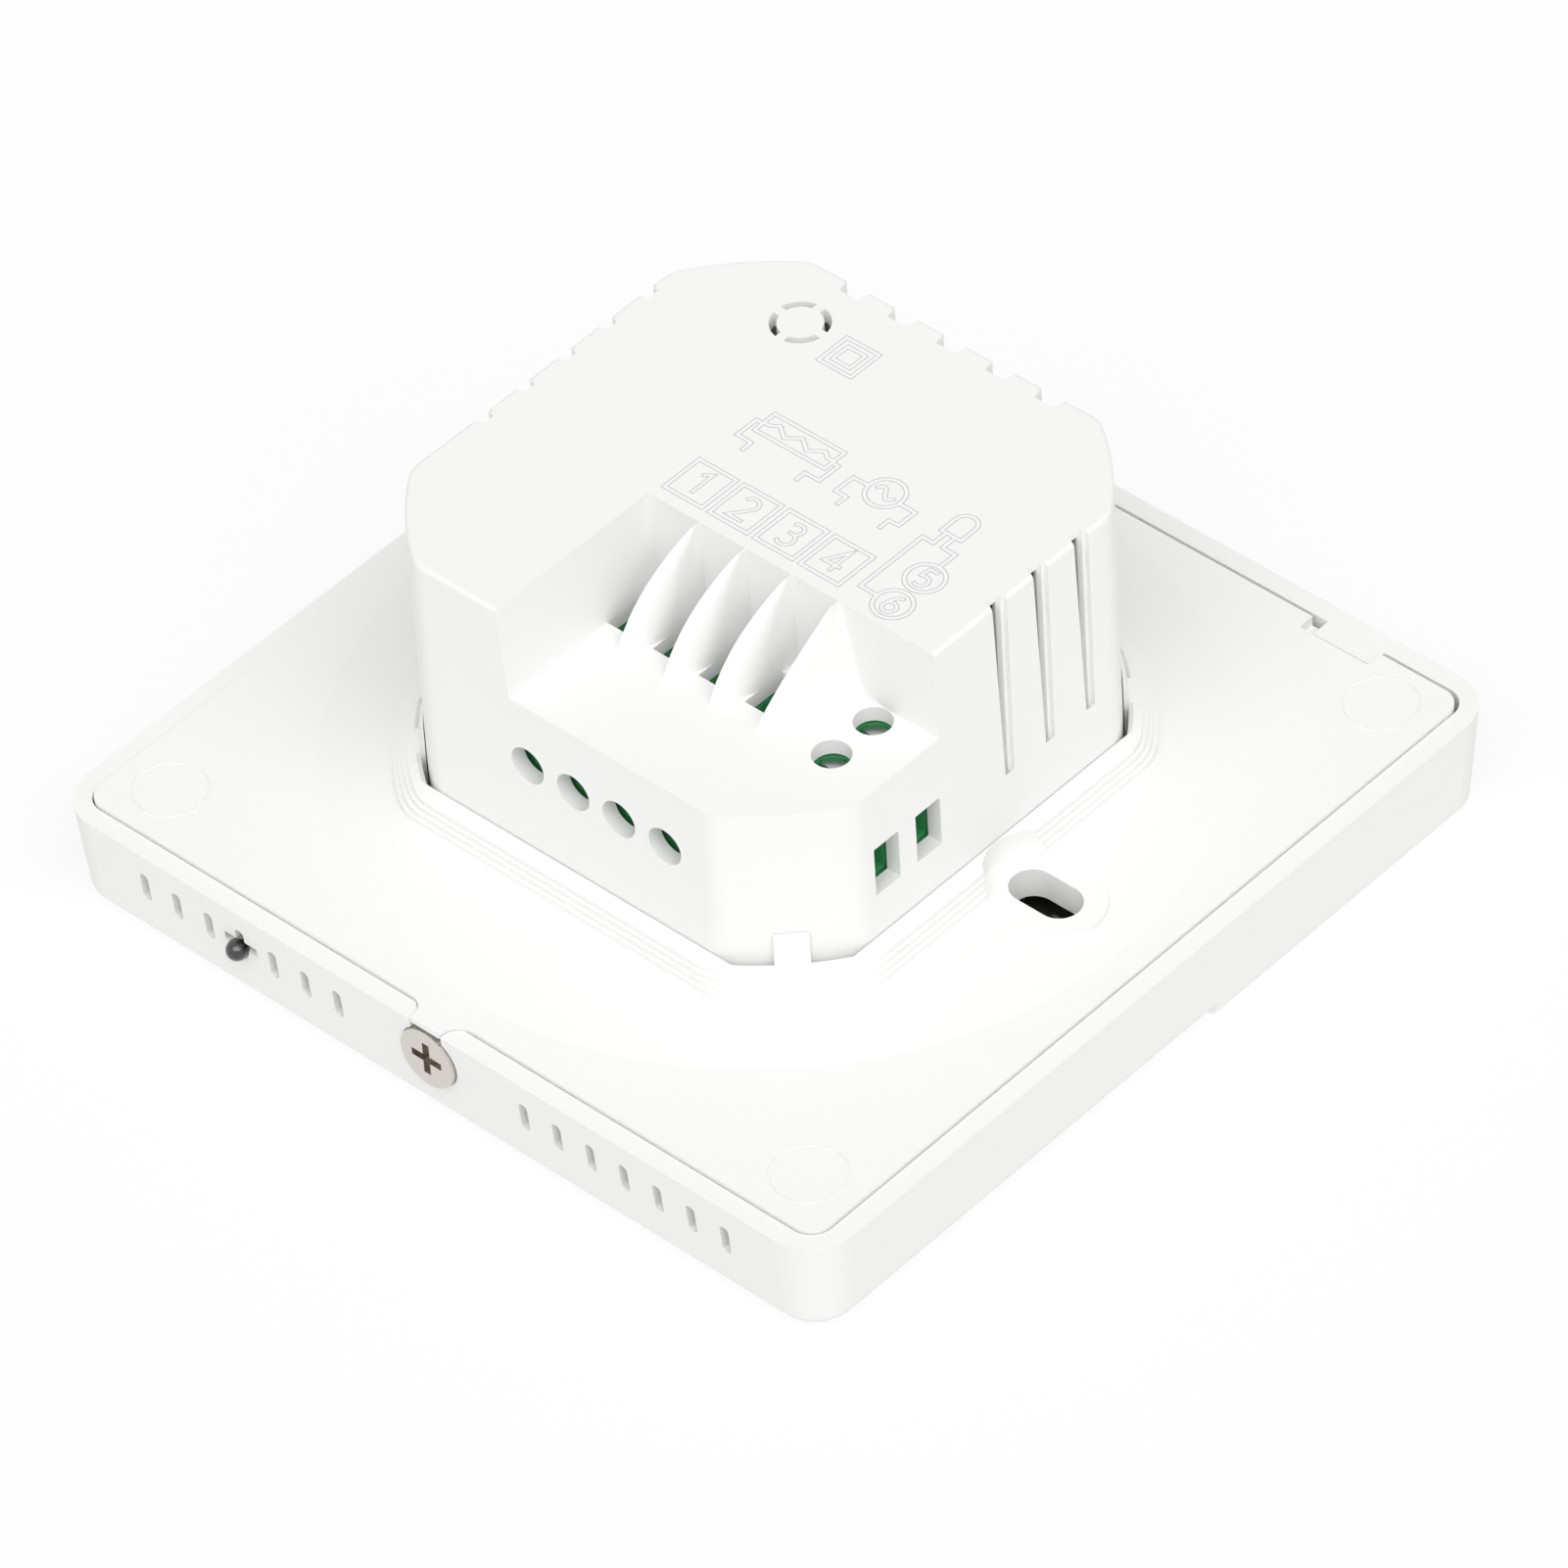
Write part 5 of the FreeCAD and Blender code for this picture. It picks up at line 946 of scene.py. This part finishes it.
@dataclass
class FrontPanel:
    """Front glass with its printed border, the display behind it and the touch keys' symbols."""

    corner_r: float = 3.0
    window_in: Pair = (1.5, 1.5)
    window_r: float = 1.2
    rim_bevel: float = 0.35
    key_pitch: float = 12.0
    key_y: float = -26.0
    # The symbols' half width, the list's rows, and the heights between which the down and up signs run.
    symbol_half: float = 1.6
    list_rows: Triple = (-1.1, 0.0, 1.1)
    sign_rise: Pair = (0.7, -0.9)
    # A ring's middle, radius and steps, with its start and end angle where it is open.
    off_ring: tuple[float, float, float, float, float, int] = (0.0, -0.1, 1.5, 60.0, -240.0, 30)
    off_stem: tuple[Point, Point] = ((0.0, 0.3), (0.0, 1.8))
    clock_ring: tuple[float, float, float, int] = (0.0, 0.0, 1.65, 36)
    clock_hands: tuple[Point, ...] = ((0.0, 1.0), (0.0, 0.0), (0.8, -0.4))
    key_stroke: Stroke = Stroke(0.42, 0.01, sunk=0.3)
    cell_stroke: Stroke = Stroke(0.95, 0.012)
    big_cell: float = 7.6
    small_cell: float = 3.0
    big_at: tuple[Point, ...] = ((-21.0, -8.0), (-9.5, -8.0), (4.0, -8.0))
    small_at: tuple[Point, ...] = ((-20.0, 11.5), (-15.1, 11.5), (-8.6, 11.5), (-3.7, 11.5))
    dot: tuple[Point, Point] = ((1.1, -8.0), (1.7, -8.0))
    # The degree sign's middle and radius.
    degree: Triple = (17.0, 3.2, 1.3)
    degree_steps: int = 24
    bar: tuple[Point, Point] = ((-20.0, -16.0), (-16.6, -16.0))
    bar_count: int = 7
    bar_pitch: float = 6.2
    house: tuple[Point, ...] = ((13.0, 11.5), (19.0, 11.5), (19.0, 14.0), (16.0, 16.6), (13.0, 14.0))
    cell_lean: float = 0.12
    cell_high: float = 0.82
    level_tol: float = 1e-4
    # How far a face's normal may point up or down where the face still counts as a wall.
    wall_tilt: float = 0.5
    corner_steps: int = 10

    def rounded_plate(self, low: Vector, high: Vector, radius: float) -> BMesh:
        """A flat face with rounded corners at the low corner's height.

        Args:
            low: lowest corner.
            high: highest corner.
            radius: corner radius.

        Returns:
            A bmesh with one face.
        """
        bm = bmesh.new()
        bmesh.ops.create_grid(bm, x_segments=1, y_segments=1, size=0.5)
        bmesh.ops.scale(bm, verts=bm.verts, vec=(high.x - low.x, high.y - low.y, 1))
        bmesh.ops.translate(bm, verts=bm.verts, vec=((low.x + high.x) / 2, (low.y + high.y) / 2, low.z))
        soften(bm, bm.verts, radius, self.corner_steps, affect="VERTICES")
        return bm

    def thicken(self, bm: BMesh, thickness: float) -> None:
        """Extrudes a flat mesh upwards into a plate.

        Args:
            bm: the flat mesh.
            thickness: the plate's thickness.
        """
        raised = bmesh.ops.extrude_face_region(bm, geom=bm.faces[:], use_keep_orig=True)
        bmesh.ops.translate(bm, verts=points_of(raised), vec=(0, 0, thickness))
        bmesh.ops.recalc_face_normals(bm, faces=bm.faces[:])

    def lens(self) -> list[Object]:
        """Builds the glass: a black printed border and a clear window, which stand for the lens node.

        Returns:
            The border and the window.
        """
        low, high = node_box("touch_lens")
        panel_low, panel_high = node_box("lcd_panel")
        inset = Vector((*self.window_in, 0))
        window_low, window_high = panel_low + inset, panel_high - inset
        border = self.rounded_plate(low, high, self.corner_r)
        cut = self.rounded_plate(window_low, window_high, self.window_r)
        outer = border.edges[:]
        bmesh.ops.delete(border, geom=border.faces[:], context="FACES_ONLY")
        copied = bpy.data.meshes.new("window_outline")
        cut.to_mesh(copied)
        before = set(border.edges)
        border.from_mesh(copied)
        bpy.data.meshes.remove(copied)
        inner = [e for e in border.edges if e not in before]
        bmesh.ops.delete(border, geom=border.faces[:], context="FACES_ONLY")
        for v in border.verts:
            v.co.z = low.z
        bmesh.ops.bridge_loops(border, edges=outer + inner)
        self.thicken(border, high.z - low.z)
        rim = [e for e in border.edges if all(abs(v.co.z - low.z) < self.level_tol for v in e.verts)
               and any(self.on_outside(f, low, high) for f in e.link_faces)]
        soften(border, rim, self.rim_bevel, segments=3)
        for v in cut.verts:
            v.co.z = low.z
        self.thicken(cut, high.z - low.z)
        glass = [piece_from(border, "glass_border", "front", [Finish.PRINTED_GLASS]),
                 piece_from(cut, "glass_window", "front", [Finish.WINDOW])]
        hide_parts("touch_lens")
        return glass

    def on_outside(self, face: BMFace, low: Vector, high: Vector) -> bool:
        """Tells whether a face belongs to the plate's outer wall.

        Args:
            face: the face.
            low: the plate's lowest corner.
            high: the plate's highest corner.

        Returns:
            True on the outer wall.
        """
        middle = face.calc_center_median()
        inwards = min(middle.x - low.x, high.x - middle.x, middle.y - low.y, high.y - middle.y)
        return inwards < self.corner_r and abs(face.normal.z) < self.wall_tilt

    def key_paths(self) -> list[Path]:
        """Draws the five symbols as a viewer in front sees them: off, list, down, up and clock.

        Returns:
            The paths.
        """
        (high, low), half = self.sign_rise, self.symbol_half
        symbols = ([line(*arc(*self.off_ring)), line(*self.off_stem)],
                   [line((-half, up), (half, up)) for up in self.list_rows],
                   [line((-half, high), (0.0, low), (half, high))],
                   [line((-half, low), (0.0, high), (half, low))],
                   [circle(*self.clock_ring), line(*self.clock_hands)])
        first = -(len(symbols) - 1) / 2 * self.key_pitch
        return [path for i, symbol in enumerate(symbols)
                for path in placed(symbol, first + i * self.key_pitch, self.key_y)]

    def cells(self, corners: Sequence[Point], width: float) -> list[Path]:
        """The seven strokes of each display digit, from the digits' lower left corners."""
        strokes = [line(*((x + y * self.cell_lean, y * self.cell_high) for x, y in part.value)) for part in Segment]
        return [path for x, y in corners for path in placed(strokes, x, y, width)]

    def display_paths(self, middle: Point) -> list[Path]:
        """Paths of the display's unlit strokes, as a viewer in front sees them.

        Args:
            middle: the display's middle.

        Returns:
            The paths.
        """
        paths = self.cells(self.big_at, self.big_cell)
        paths += [line(*self.dot), circle(*self.degree, self.degree_steps)]
        paths += self.cells(self.small_at, self.small_cell)
        for i in range(self.bar_count):
            paths += placed([line(*self.bar)], i * self.bar_pitch, 0.0)
        return placed([*paths, loop(*self.house)], *middle)

    def build(self) -> list[Object]:
        """Builds the glass, its print and the display.

        Returns:
            The new pieces and the dressed nodes.
        """
        low = node_box("touch_lens")[0]
        made = self.lens()
        keys = turn_to_front(self.key_stroke.mesh(self.key_paths()), low.z)
        made.append(piece_from(keys, "key_symbols", "front", (Finish.KEY_PRINT, Finish.KEY_PRINT)))
        panel_low, panel_high = node_box("lcd_panel")
        middle = (-(panel_low.x + panel_high.x) / 2, (panel_low.y + panel_high.y) / 2)
        cells = turn_to_front(self.cell_stroke.mesh(self.display_paths(middle)), panel_low.z)
        made.append(piece_from(cells, "display_segments", "front", (Finish.SEGMENT, Finish.SEGMENT)))
        return made + dress_all({Finish.DISPLAY: ("lcd_panel",), Finish.DIFFUSER: ("backlight_diffuser",),
                                 Finish.BLACK_PLASTIC: ("display_frame",), Finish.LAMP: ("backlight_lamps",),
                                 Finish.RUBBER: ("touch_pads",)})


@dataclass(frozen=True)
class SmallPart:
    """A surface-mounted part: a body between two tinned ends."""

    length: float
    width: float
    height: float
    end: float
    body: Finish
    end_rise: float = 1.04
    sunk: float = 0.01
    bevel: float = 0.04
    finishes: ClassVar[tuple[Finish, ...]] = (Finish.SOLDER, Finish.CHIP, Finish.CERAMIC)

    def add(self, bm: BMesh, x: float, y: float, z: float, along_x: bool) -> None:
        """Adds the part to a board.

        Args:
            bm: the mesh that it goes into.
            x: its middle.
            y: its middle.
            z: the board's face.
            along_x: whether its length runs along X.
        """
        half, side = self.length / 2, self.width / 2
        inner, tinned = half - self.end, self.height * self.end_rise
        spans = ((-inner, inner, self.height, self.body), (-half, -inner, tinned, Finish.SOLDER),
                 (inner, half, tinned, Finish.SOLDER))
        for a, b, top, finish in spans:
            low, high = ((x + a, y - side), (x + b, y + side)) if along_x else ((x - side, y + a), (x + side, y + b))
            add_block(bm, (*low, z - self.sunk), (*high, z + top), self.bevel, self.finishes.index(finish))


@dataclass
class ControlBoard:
    """Control board with its radio module, chip, buzzer, header and small parts."""

    pitch: float = 3.4
    keep_out: float = 1.6
    fill: float = 0.36
    jitter: float = 0.5
    seed: int = 11
    screw_at: float = 33.0
    screw_clear: float = 2.5
    fork_clear: tuple[Point, Point] = ((-5.5, -36.0), (5.5, -30.0))
    parts: tuple[SmallPart, ...] = (
        SmallPart(1.6, 0.8, 0.45, 0.3, Finish.CHIP), SmallPart(1.6, 0.8, 0.7, 0.35, Finish.CERAMIC),
        SmallPart(2.0, 1.25, 0.55, 0.4, Finish.CHIP))
    legs_a_side: int = 12
    leg_pitch: float = 0.65
    leg_w: float = 0.26
    leg_out: float = 0.95
    leg_t: float = 0.12
    leg_knee: float = 0.45
    leg_root: float = 0.05
    leg_z: float = 0.5
    leg_bevel: float = 0.03
    antenna_turns: int = 5
    antenna_pitch: float = 0.55
    antenna_in: float = 0.8
    antenna_gap: float = 0.5
    antenna_stroke: Stroke = Stroke(0.22, 0.03)
    finishes: ClassVar[dict[Finish, Sequence[str]]] = {
        Finish.BLACK_BOARD: ("control_board", "radio_board"), Finish.TIN: ("radio_shield",),
        Finish.CHIP: ("microcontroller",), Finish.BLACK_PLASTIC: ("buzzer", "header_strip"),
        Finish.GOLD: ("header_pins",)}

    def free(self, x: float, y: float, blocked: Sequence[tuple[Vector, Vector]]) -> bool:
        """Whether a place on the board is clear of what stands there."""
        gap = self.keep_out
        return all(not (low.x - gap < x < high.x + gap and low.y - gap < y < high.y + gap) for low, high in blocked)

    def small_parts(self) -> Object:
        """Puts resistors and capacitors in the board's free places.

        Returns:
            The small parts.
        """
        low, high = node_box("control_board")
        names = ("radio_board", "microcontroller", "buzzer", "header_strip", "thermistor_leads")
        blocked = [node_box(name) for name in names]
        middles = [Vector((sx * self.screw_at, sy * self.screw_at)) for sx in (-1, 1) for sy in (-1, 1)]
        clear = Vector((self.screw_clear, self.screw_clear))
        blocked += [(middle - clear, middle + clear) for middle in middles]
        blocked.append(tuple(Vector(corner) for corner in self.fork_clear))
        draw = random.Random(self.seed)
        bm = bmesh.new()
        count = int((high.x - low.x) / self.pitch) - 1
        for i in range(count):
            for j in range(count):
                x = low.x + (i + 1) * self.pitch + draw.uniform(-self.jitter, self.jitter)
                y = low.y + (j + 1) * self.pitch + draw.uniform(-self.jitter, self.jitter)
                kind, along_x, wanted = draw.choice(self.parts), draw.random() < 0.5, draw.random() < self.fill
                if wanted and self.free(x, y, blocked):
                    kind.add(bm, x, y, high.z, along_x)
        return piece_from(bm, "control_board_small_parts", "front", SmallPart.finishes)

    def chip_legs(self) -> Object:
        """Puts legs on the four sides of the microcontroller.

        Returns:
            The legs.
        """
        low, high = node_box("microcontroller")
        middle = (low + high) / 2
        reach = (high.x - low.x) / 2
        bm = bmesh.new()
        knee, top = reach + self.leg_knee, self.leg_z + self.leg_t
        spans = (((reach - self.leg_root, self.leg_z), (knee, top)), ((knee - self.leg_t, 0.0), (knee, top)),
                 ((knee - self.leg_t, 0.0), (reach + self.leg_out, self.leg_t)))
        for i in range(self.legs_a_side):
            at = (i - (self.legs_a_side - 1) / 2) * self.leg_pitch
            for near, far in spans:
                add_block(bm, (at - self.leg_w / 2, *near), (at + self.leg_w / 2, *far), self.leg_bevel)
        quarter = bm.verts[:] + bm.edges[:] + bm.faces[:]
        for i in range(1, 4):
            copied = bmesh.ops.duplicate(bm, geom=quarter)
            bmesh.ops.rotate(bm, verts=points_of(copied), cent=(0, 0, 0),
                             matrix=Matrix.Rotation(i * math.pi / 2, 3, "Z"))
        bmesh.ops.translate(bm, verts=bm.verts, vec=(middle.x, middle.y, low.z))
        return piece_from(bm, "microcontroller_legs", "front", [Finish.SOLDER])

    def antenna(self) -> Object:
        """Lays the meandering copper antenna at the end of the radio board.

        Returns:
            The antenna.
        """
        low, high = node_box("radio_board")
        shield_high = node_box("radio_shield")[1]
        ends = (low.y + self.antenna_in, high.y - self.antenna_in)
        points = []
        for i in range(self.antenna_turns):
            x = shield_high.x + self.antenna_gap + i * self.antenna_pitch
            points += [(x, y) for y in (ends if i % 2 else ends[::-1])]
        bm = self.antenna_stroke.mesh([line(*points)])
        bmesh.ops.translate(bm, verts=bm.verts, vec=(0, 0, high.z))
        return piece_from(bm, "radio_antenna", "front", (Finish.GOLD, Finish.GOLD))

    def build(self) -> list[Object]:
        """Dresses the board's nodes and adds its fine parts."""
        return [self.small_parts(), self.chip_legs(), self.antenna()] + dress_all(self.finishes)


@dataclass
class PowerBoard:
    """Power board in the casing, with the parts that stand on it and the solder joints on its open face."""

    joint_r: float = 0.95
    joint_h: float = 0.7
    joint_cuts: tuple[int, int] = (14, 8)
    joints_within: float = 21.0
    pair_reach: float = 2.5
    # A part, how far in from its box its legs stand, and their pitch along X, or 0 for one leg at each corner.
    rows: tuple[tuple[str, float, float], ...] = (
        ("relay", 1.6, 0.0), ("transformer_bobbin", 1.2, 2.5), ("bridge_rectifier", 0.9, 0.0),
        ("film_capacitor", 1.0, 0.0), ("choke", 1.2, 0.0), ("supply_chip", 0.6, 2.2), ("optocoupler", 0.8, 0.0))
    # Parts with two legs, side by side along X.
    pairs: tuple[str, ...] = ("varistor", "fuse", "input_capacitor")
    finishes: ClassVar[dict[Finish, Sequence[str]]] = {
        Finish.GREEN_BOARD: ("power_board",), Finish.RELAY: ("relay",),
        Finish.BLACK_PLASTIC: ("transformer_bobbin", "header_socket"), Finish.FERRITE: ("transformer_core", "choke"),
        Finish.TAPE: ("transformer_winding",), Finish.CHIP: ("bridge_rectifier", "supply_chip", "optocoupler"),
        Finish.VARISTOR: ("varistor",), Finish.FUSE: ("fuse",), Finish.FILM: ("film_capacitor",),
        Finish.GOLD: ("socket_contacts",)}
    sleeve: Colour = (0.02, 0.022, 0.03)
    stripe: Colour = (0.5, 0.52, 0.55)

    def joints(self) -> Object:
        """Puts solder joints under the legs of the parts.

        Returns:
            The joints.
        """
        low = node_box("power_board")[0]
        legs: list[Point] = []
        for name, inset, pitch in self.rows:
            a, b = node_box(name)
            xs = [a.x + inset, b.x - inset]
            ys = [a.y + inset, b.y - inset]
            if pitch:
                count = max(2, int((b.x - a.x - 2 * inset) / pitch) + 1)
                xs = [a.x + inset + i * (b.x - a.x - 2 * inset) / (count - 1) for i in range(count)]
            legs += [(x, y) for x in xs for y in ys]
        for name in self.pairs:
            a, b = node_box(name)
            reach = min(self.pair_reach, (b.x - a.x) / 4)
            legs += [((a.x + b.x) / 2 + side * reach, (a.y + b.y) / 2) for side in (-1, 1)]
        bm = bmesh.new()
        around, up = self.joint_cuts
        for x, y in legs:
            if max(abs(x), abs(y)) > self.joints_within:
                continue
            place = Matrix.LocRotScale(Vector((x, y, low.z)), None, Vector((1.0, 1.0, self.joint_h / self.joint_r)))
            bmesh.ops.create_uvsphere(bm, u_segments=around, v_segments=up, radius=self.joint_r, matrix=place)
        for face in bm.faces:
            face.smooth = True
        return piece_from(bm, "power_board_joints", "base", [Finish.SOLDER])

    def build(self) -> list[Object]:
        """Dresses the board's nodes and adds its joints.

        Returns:
            The joints and the dressed nodes.
        """
        made = [self.joints()] + dress_all(self.finishes)
        for name in ("input_capacitor", "output_capacitors"):
            low, high = node_box(name)
            middle = ((low.x + high.x) / 2, (low.y + high.y) / 2)
            sleeve = Sleeve(f"{name}_sleeve", self.sleeve, self.stripe, middle).make()
            made.append(paint(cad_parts[name], sleeve))
        return made


@dataclass
class Terminals:
    """Green terminal blocks with their screws, clamps and bars."""

    # A block's kind and its number of poles.
    kinds: tuple[tuple[str, int], ...] = (("power", 4), ("sensor", 2))

    def build(self) -> list[Object]:
        """Dresses the blocks and what moves in them.

        Returns:
            The dressed nodes.
        """
        poles = [(kind, i + 1) for kind, count in self.kinds for i in range(count)]
        moving = [f"{kind}_{part}_{number}" for kind, number in poles for part in ("screw", "clamp")]
        return dress_all({Finish.GREEN_TERMINAL: ("power_terminal_block", "sensor_terminal_block"),
                          Finish.BAR: ("terminal_bars",), Finish.ZINC: moving})


@dataclass
class SensorAndScrews:
    """Thermistor in the cover's cross-shaped opening, and the fixing screws."""

    screws: tuple[str, ...] = ("cover_screw", "board_screws", "power_board_screws")

    def build(self) -> list[Object]:
        """Dresses the bead, its leads and the screws."""
        return dress_all({Finish.BEAD: ("thermistor_bead",), Finish.LEAD: ("thermistor_leads",),
                          Finish.NICKEL: self.screws})


# ---------------------------------------------------------------- studio


@dataclass
class Studio:
    """Pale floor, soft light and the camera at the photograph's viewing angle."""

    eye: Triple = (511.4, -519.1, 687.4)
    forward: Triple = (-0.5125, 0.5209, -0.6827)
    right: Triple = (0.7427, 0.6679, -0.0480)
    lens: float = 273.07
    floor_half: float = 3000.0
    floor_colour: Colour = (0.95, 0.95, 0.95)
    floor_white: float = 0.7
    sky: float = 0.56
    ground: float = 0.9
    # A lamp's name, strength and the direction that it stands in.
    lamps: tuple[tuple[str, float, Triple], ...] = (
        ("right", 1.0, (0.6, -0.2, 0.77)), ("left", 0.86, (0.2, -0.6, 0.77)))
    lamp_spread_deg: float = 45.0
    floor_drop: float = 0.05
    sensor: float = 36.0
    clip: Pair = (0.05, 20.0)

    def seen_straight(self, w: Wiring) -> NodeSocket:
        """Marks rays from the camera, off gloss and through glass.

        Args:
            w: the wiring that it goes into.

        Returns:
            1 for those rays and 0 for all others.
        """
        path = w.add("LightPath")
        glossy = w.math("MAXIMUM", path.outputs["Is Camera Ray"], path.outputs["Is Glossy Ray"])
        return w.math("MAXIMUM", glossy, path.outputs["Is Transmission Ray"])

    def world(self) -> None:
        """Lights the room evenly, brighter from the pale ground, and shows white to the camera."""
        made = bpy.data.worlds.new("room")
        w = emptied(made)
        height = w.add("SeparateXYZ", {0: w.add("TexCoord").outputs["Generated"]}).outputs["Z"]
        low = w.math("LESS_THAN", height, 0.0)
        level = w.math("ADD", w.math("MULTIPLY", low, self.ground - self.sky), self.sky)
        strength = w.math("MAXIMUM", self.seen_straight(w), level)
        light = w.add("Background", {"Color": WHITE, "Strength": strength})
        w.add("OutputWorld", {"Surface": light.outputs[0]})
        bpy.context.scene.world = made

    def floor(self) -> None:
        """A large plane just under the glass that the camera sees as white paper with a share of the shadow.

        It is clear from below and to the light from the ground, so that the front glass shows too.
        """
        bm = bmesh.new()
        bmesh.ops.create_grid(bm, x_segments=1, y_segments=1, size=self.floor_half * MM)
        bmesh.ops.translate(bm, verts=bm.verts, vec=(0, 0, -self.floor_drop * MM))
        plane = linked("floor", mesh_of(bm, "floor"))
        made = bpy.data.materials.new("floor_paper")
        w = emptied(made)
        paper = w.add("BsdfDiffuse", {"Color": rgba(self.floor_colour)})
        white = w.add("Emission", {"Color": WHITE, "Strength": 1.0})
        mixed = w.add("MixShader", {0: self.floor_white, 1: paper.outputs[0], 2: white.outputs[0]})
        above = w.math("SUBTRACT", 1.0, w.add("NewGeometry").outputs["Backfacing"])
        shown = w.math("MULTIPLY", self.seen_straight(w), above)
        clear = w.add("BsdfTransparent").outputs[0]
        w.add("OutputMaterial", {"Surface": w.add("MixShader", {0: shown, 1: clear, 2: mixed.outputs[0]}).outputs[0]})
        plane.data.materials.append(made)

    def soft_lamps(self) -> None:
        """Two wide soft lamps beside the camera."""
        for name, power, source in self.lamps:
            lamp = bpy.data.lights.new(name, "SUN")
            lamp.energy, lamp.angle = power, math.radians(self.lamp_spread_deg)
            holder = linked(name, lamp)
            holder.rotation_mode = "QUATERNION"
            holder.rotation_quaternion = Vector(source).to_track_quat("Z", "Y")

    def camera(self) -> None:
        """The camera, placed by its own axes."""
        ahead, side = Vector(self.forward).normalized(), Vector(self.right)
        side = (side - ahead * side.dot(ahead)).normalized()
        up = side.cross(ahead)
        data = bpy.data.cameras.new("camera")
        data.lens, data.sensor_width = self.lens, self.sensor
        data.clip_start, data.clip_end = self.clip
        holder = linked("camera", data)
        axes = Matrix((side, up, -ahead)).transposed().to_4x4()
        holder.matrix_world = Matrix.Translation(Vector(self.eye) * MM) @ axes
        bpy.context.scene.camera = holder

    def build(self) -> None:
        """Sets up the room."""
        bpy.context.scene.view_settings.view_transform = "Standard"
        self.world()
        self.floor()
        self.soft_lamps()
        self.camera()


def main() -> None:
    """Builds the thermostat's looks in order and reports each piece."""
    logging.basicConfig(level=logging.INFO, format="%(message)s")
    Studio().build()
    for assembly in (Housing(), CasingMarks(), FrontPanel(), ControlBoard(), PowerBoard(), Terminals(),
                     SensorAndScrews()):
        for piece in assembly.build():
            LOG.info("%s: %s, %d faces", type(assembly).__name__, piece.name, len(piece.data.polygons))


if __name__ == "__main__":
    main()
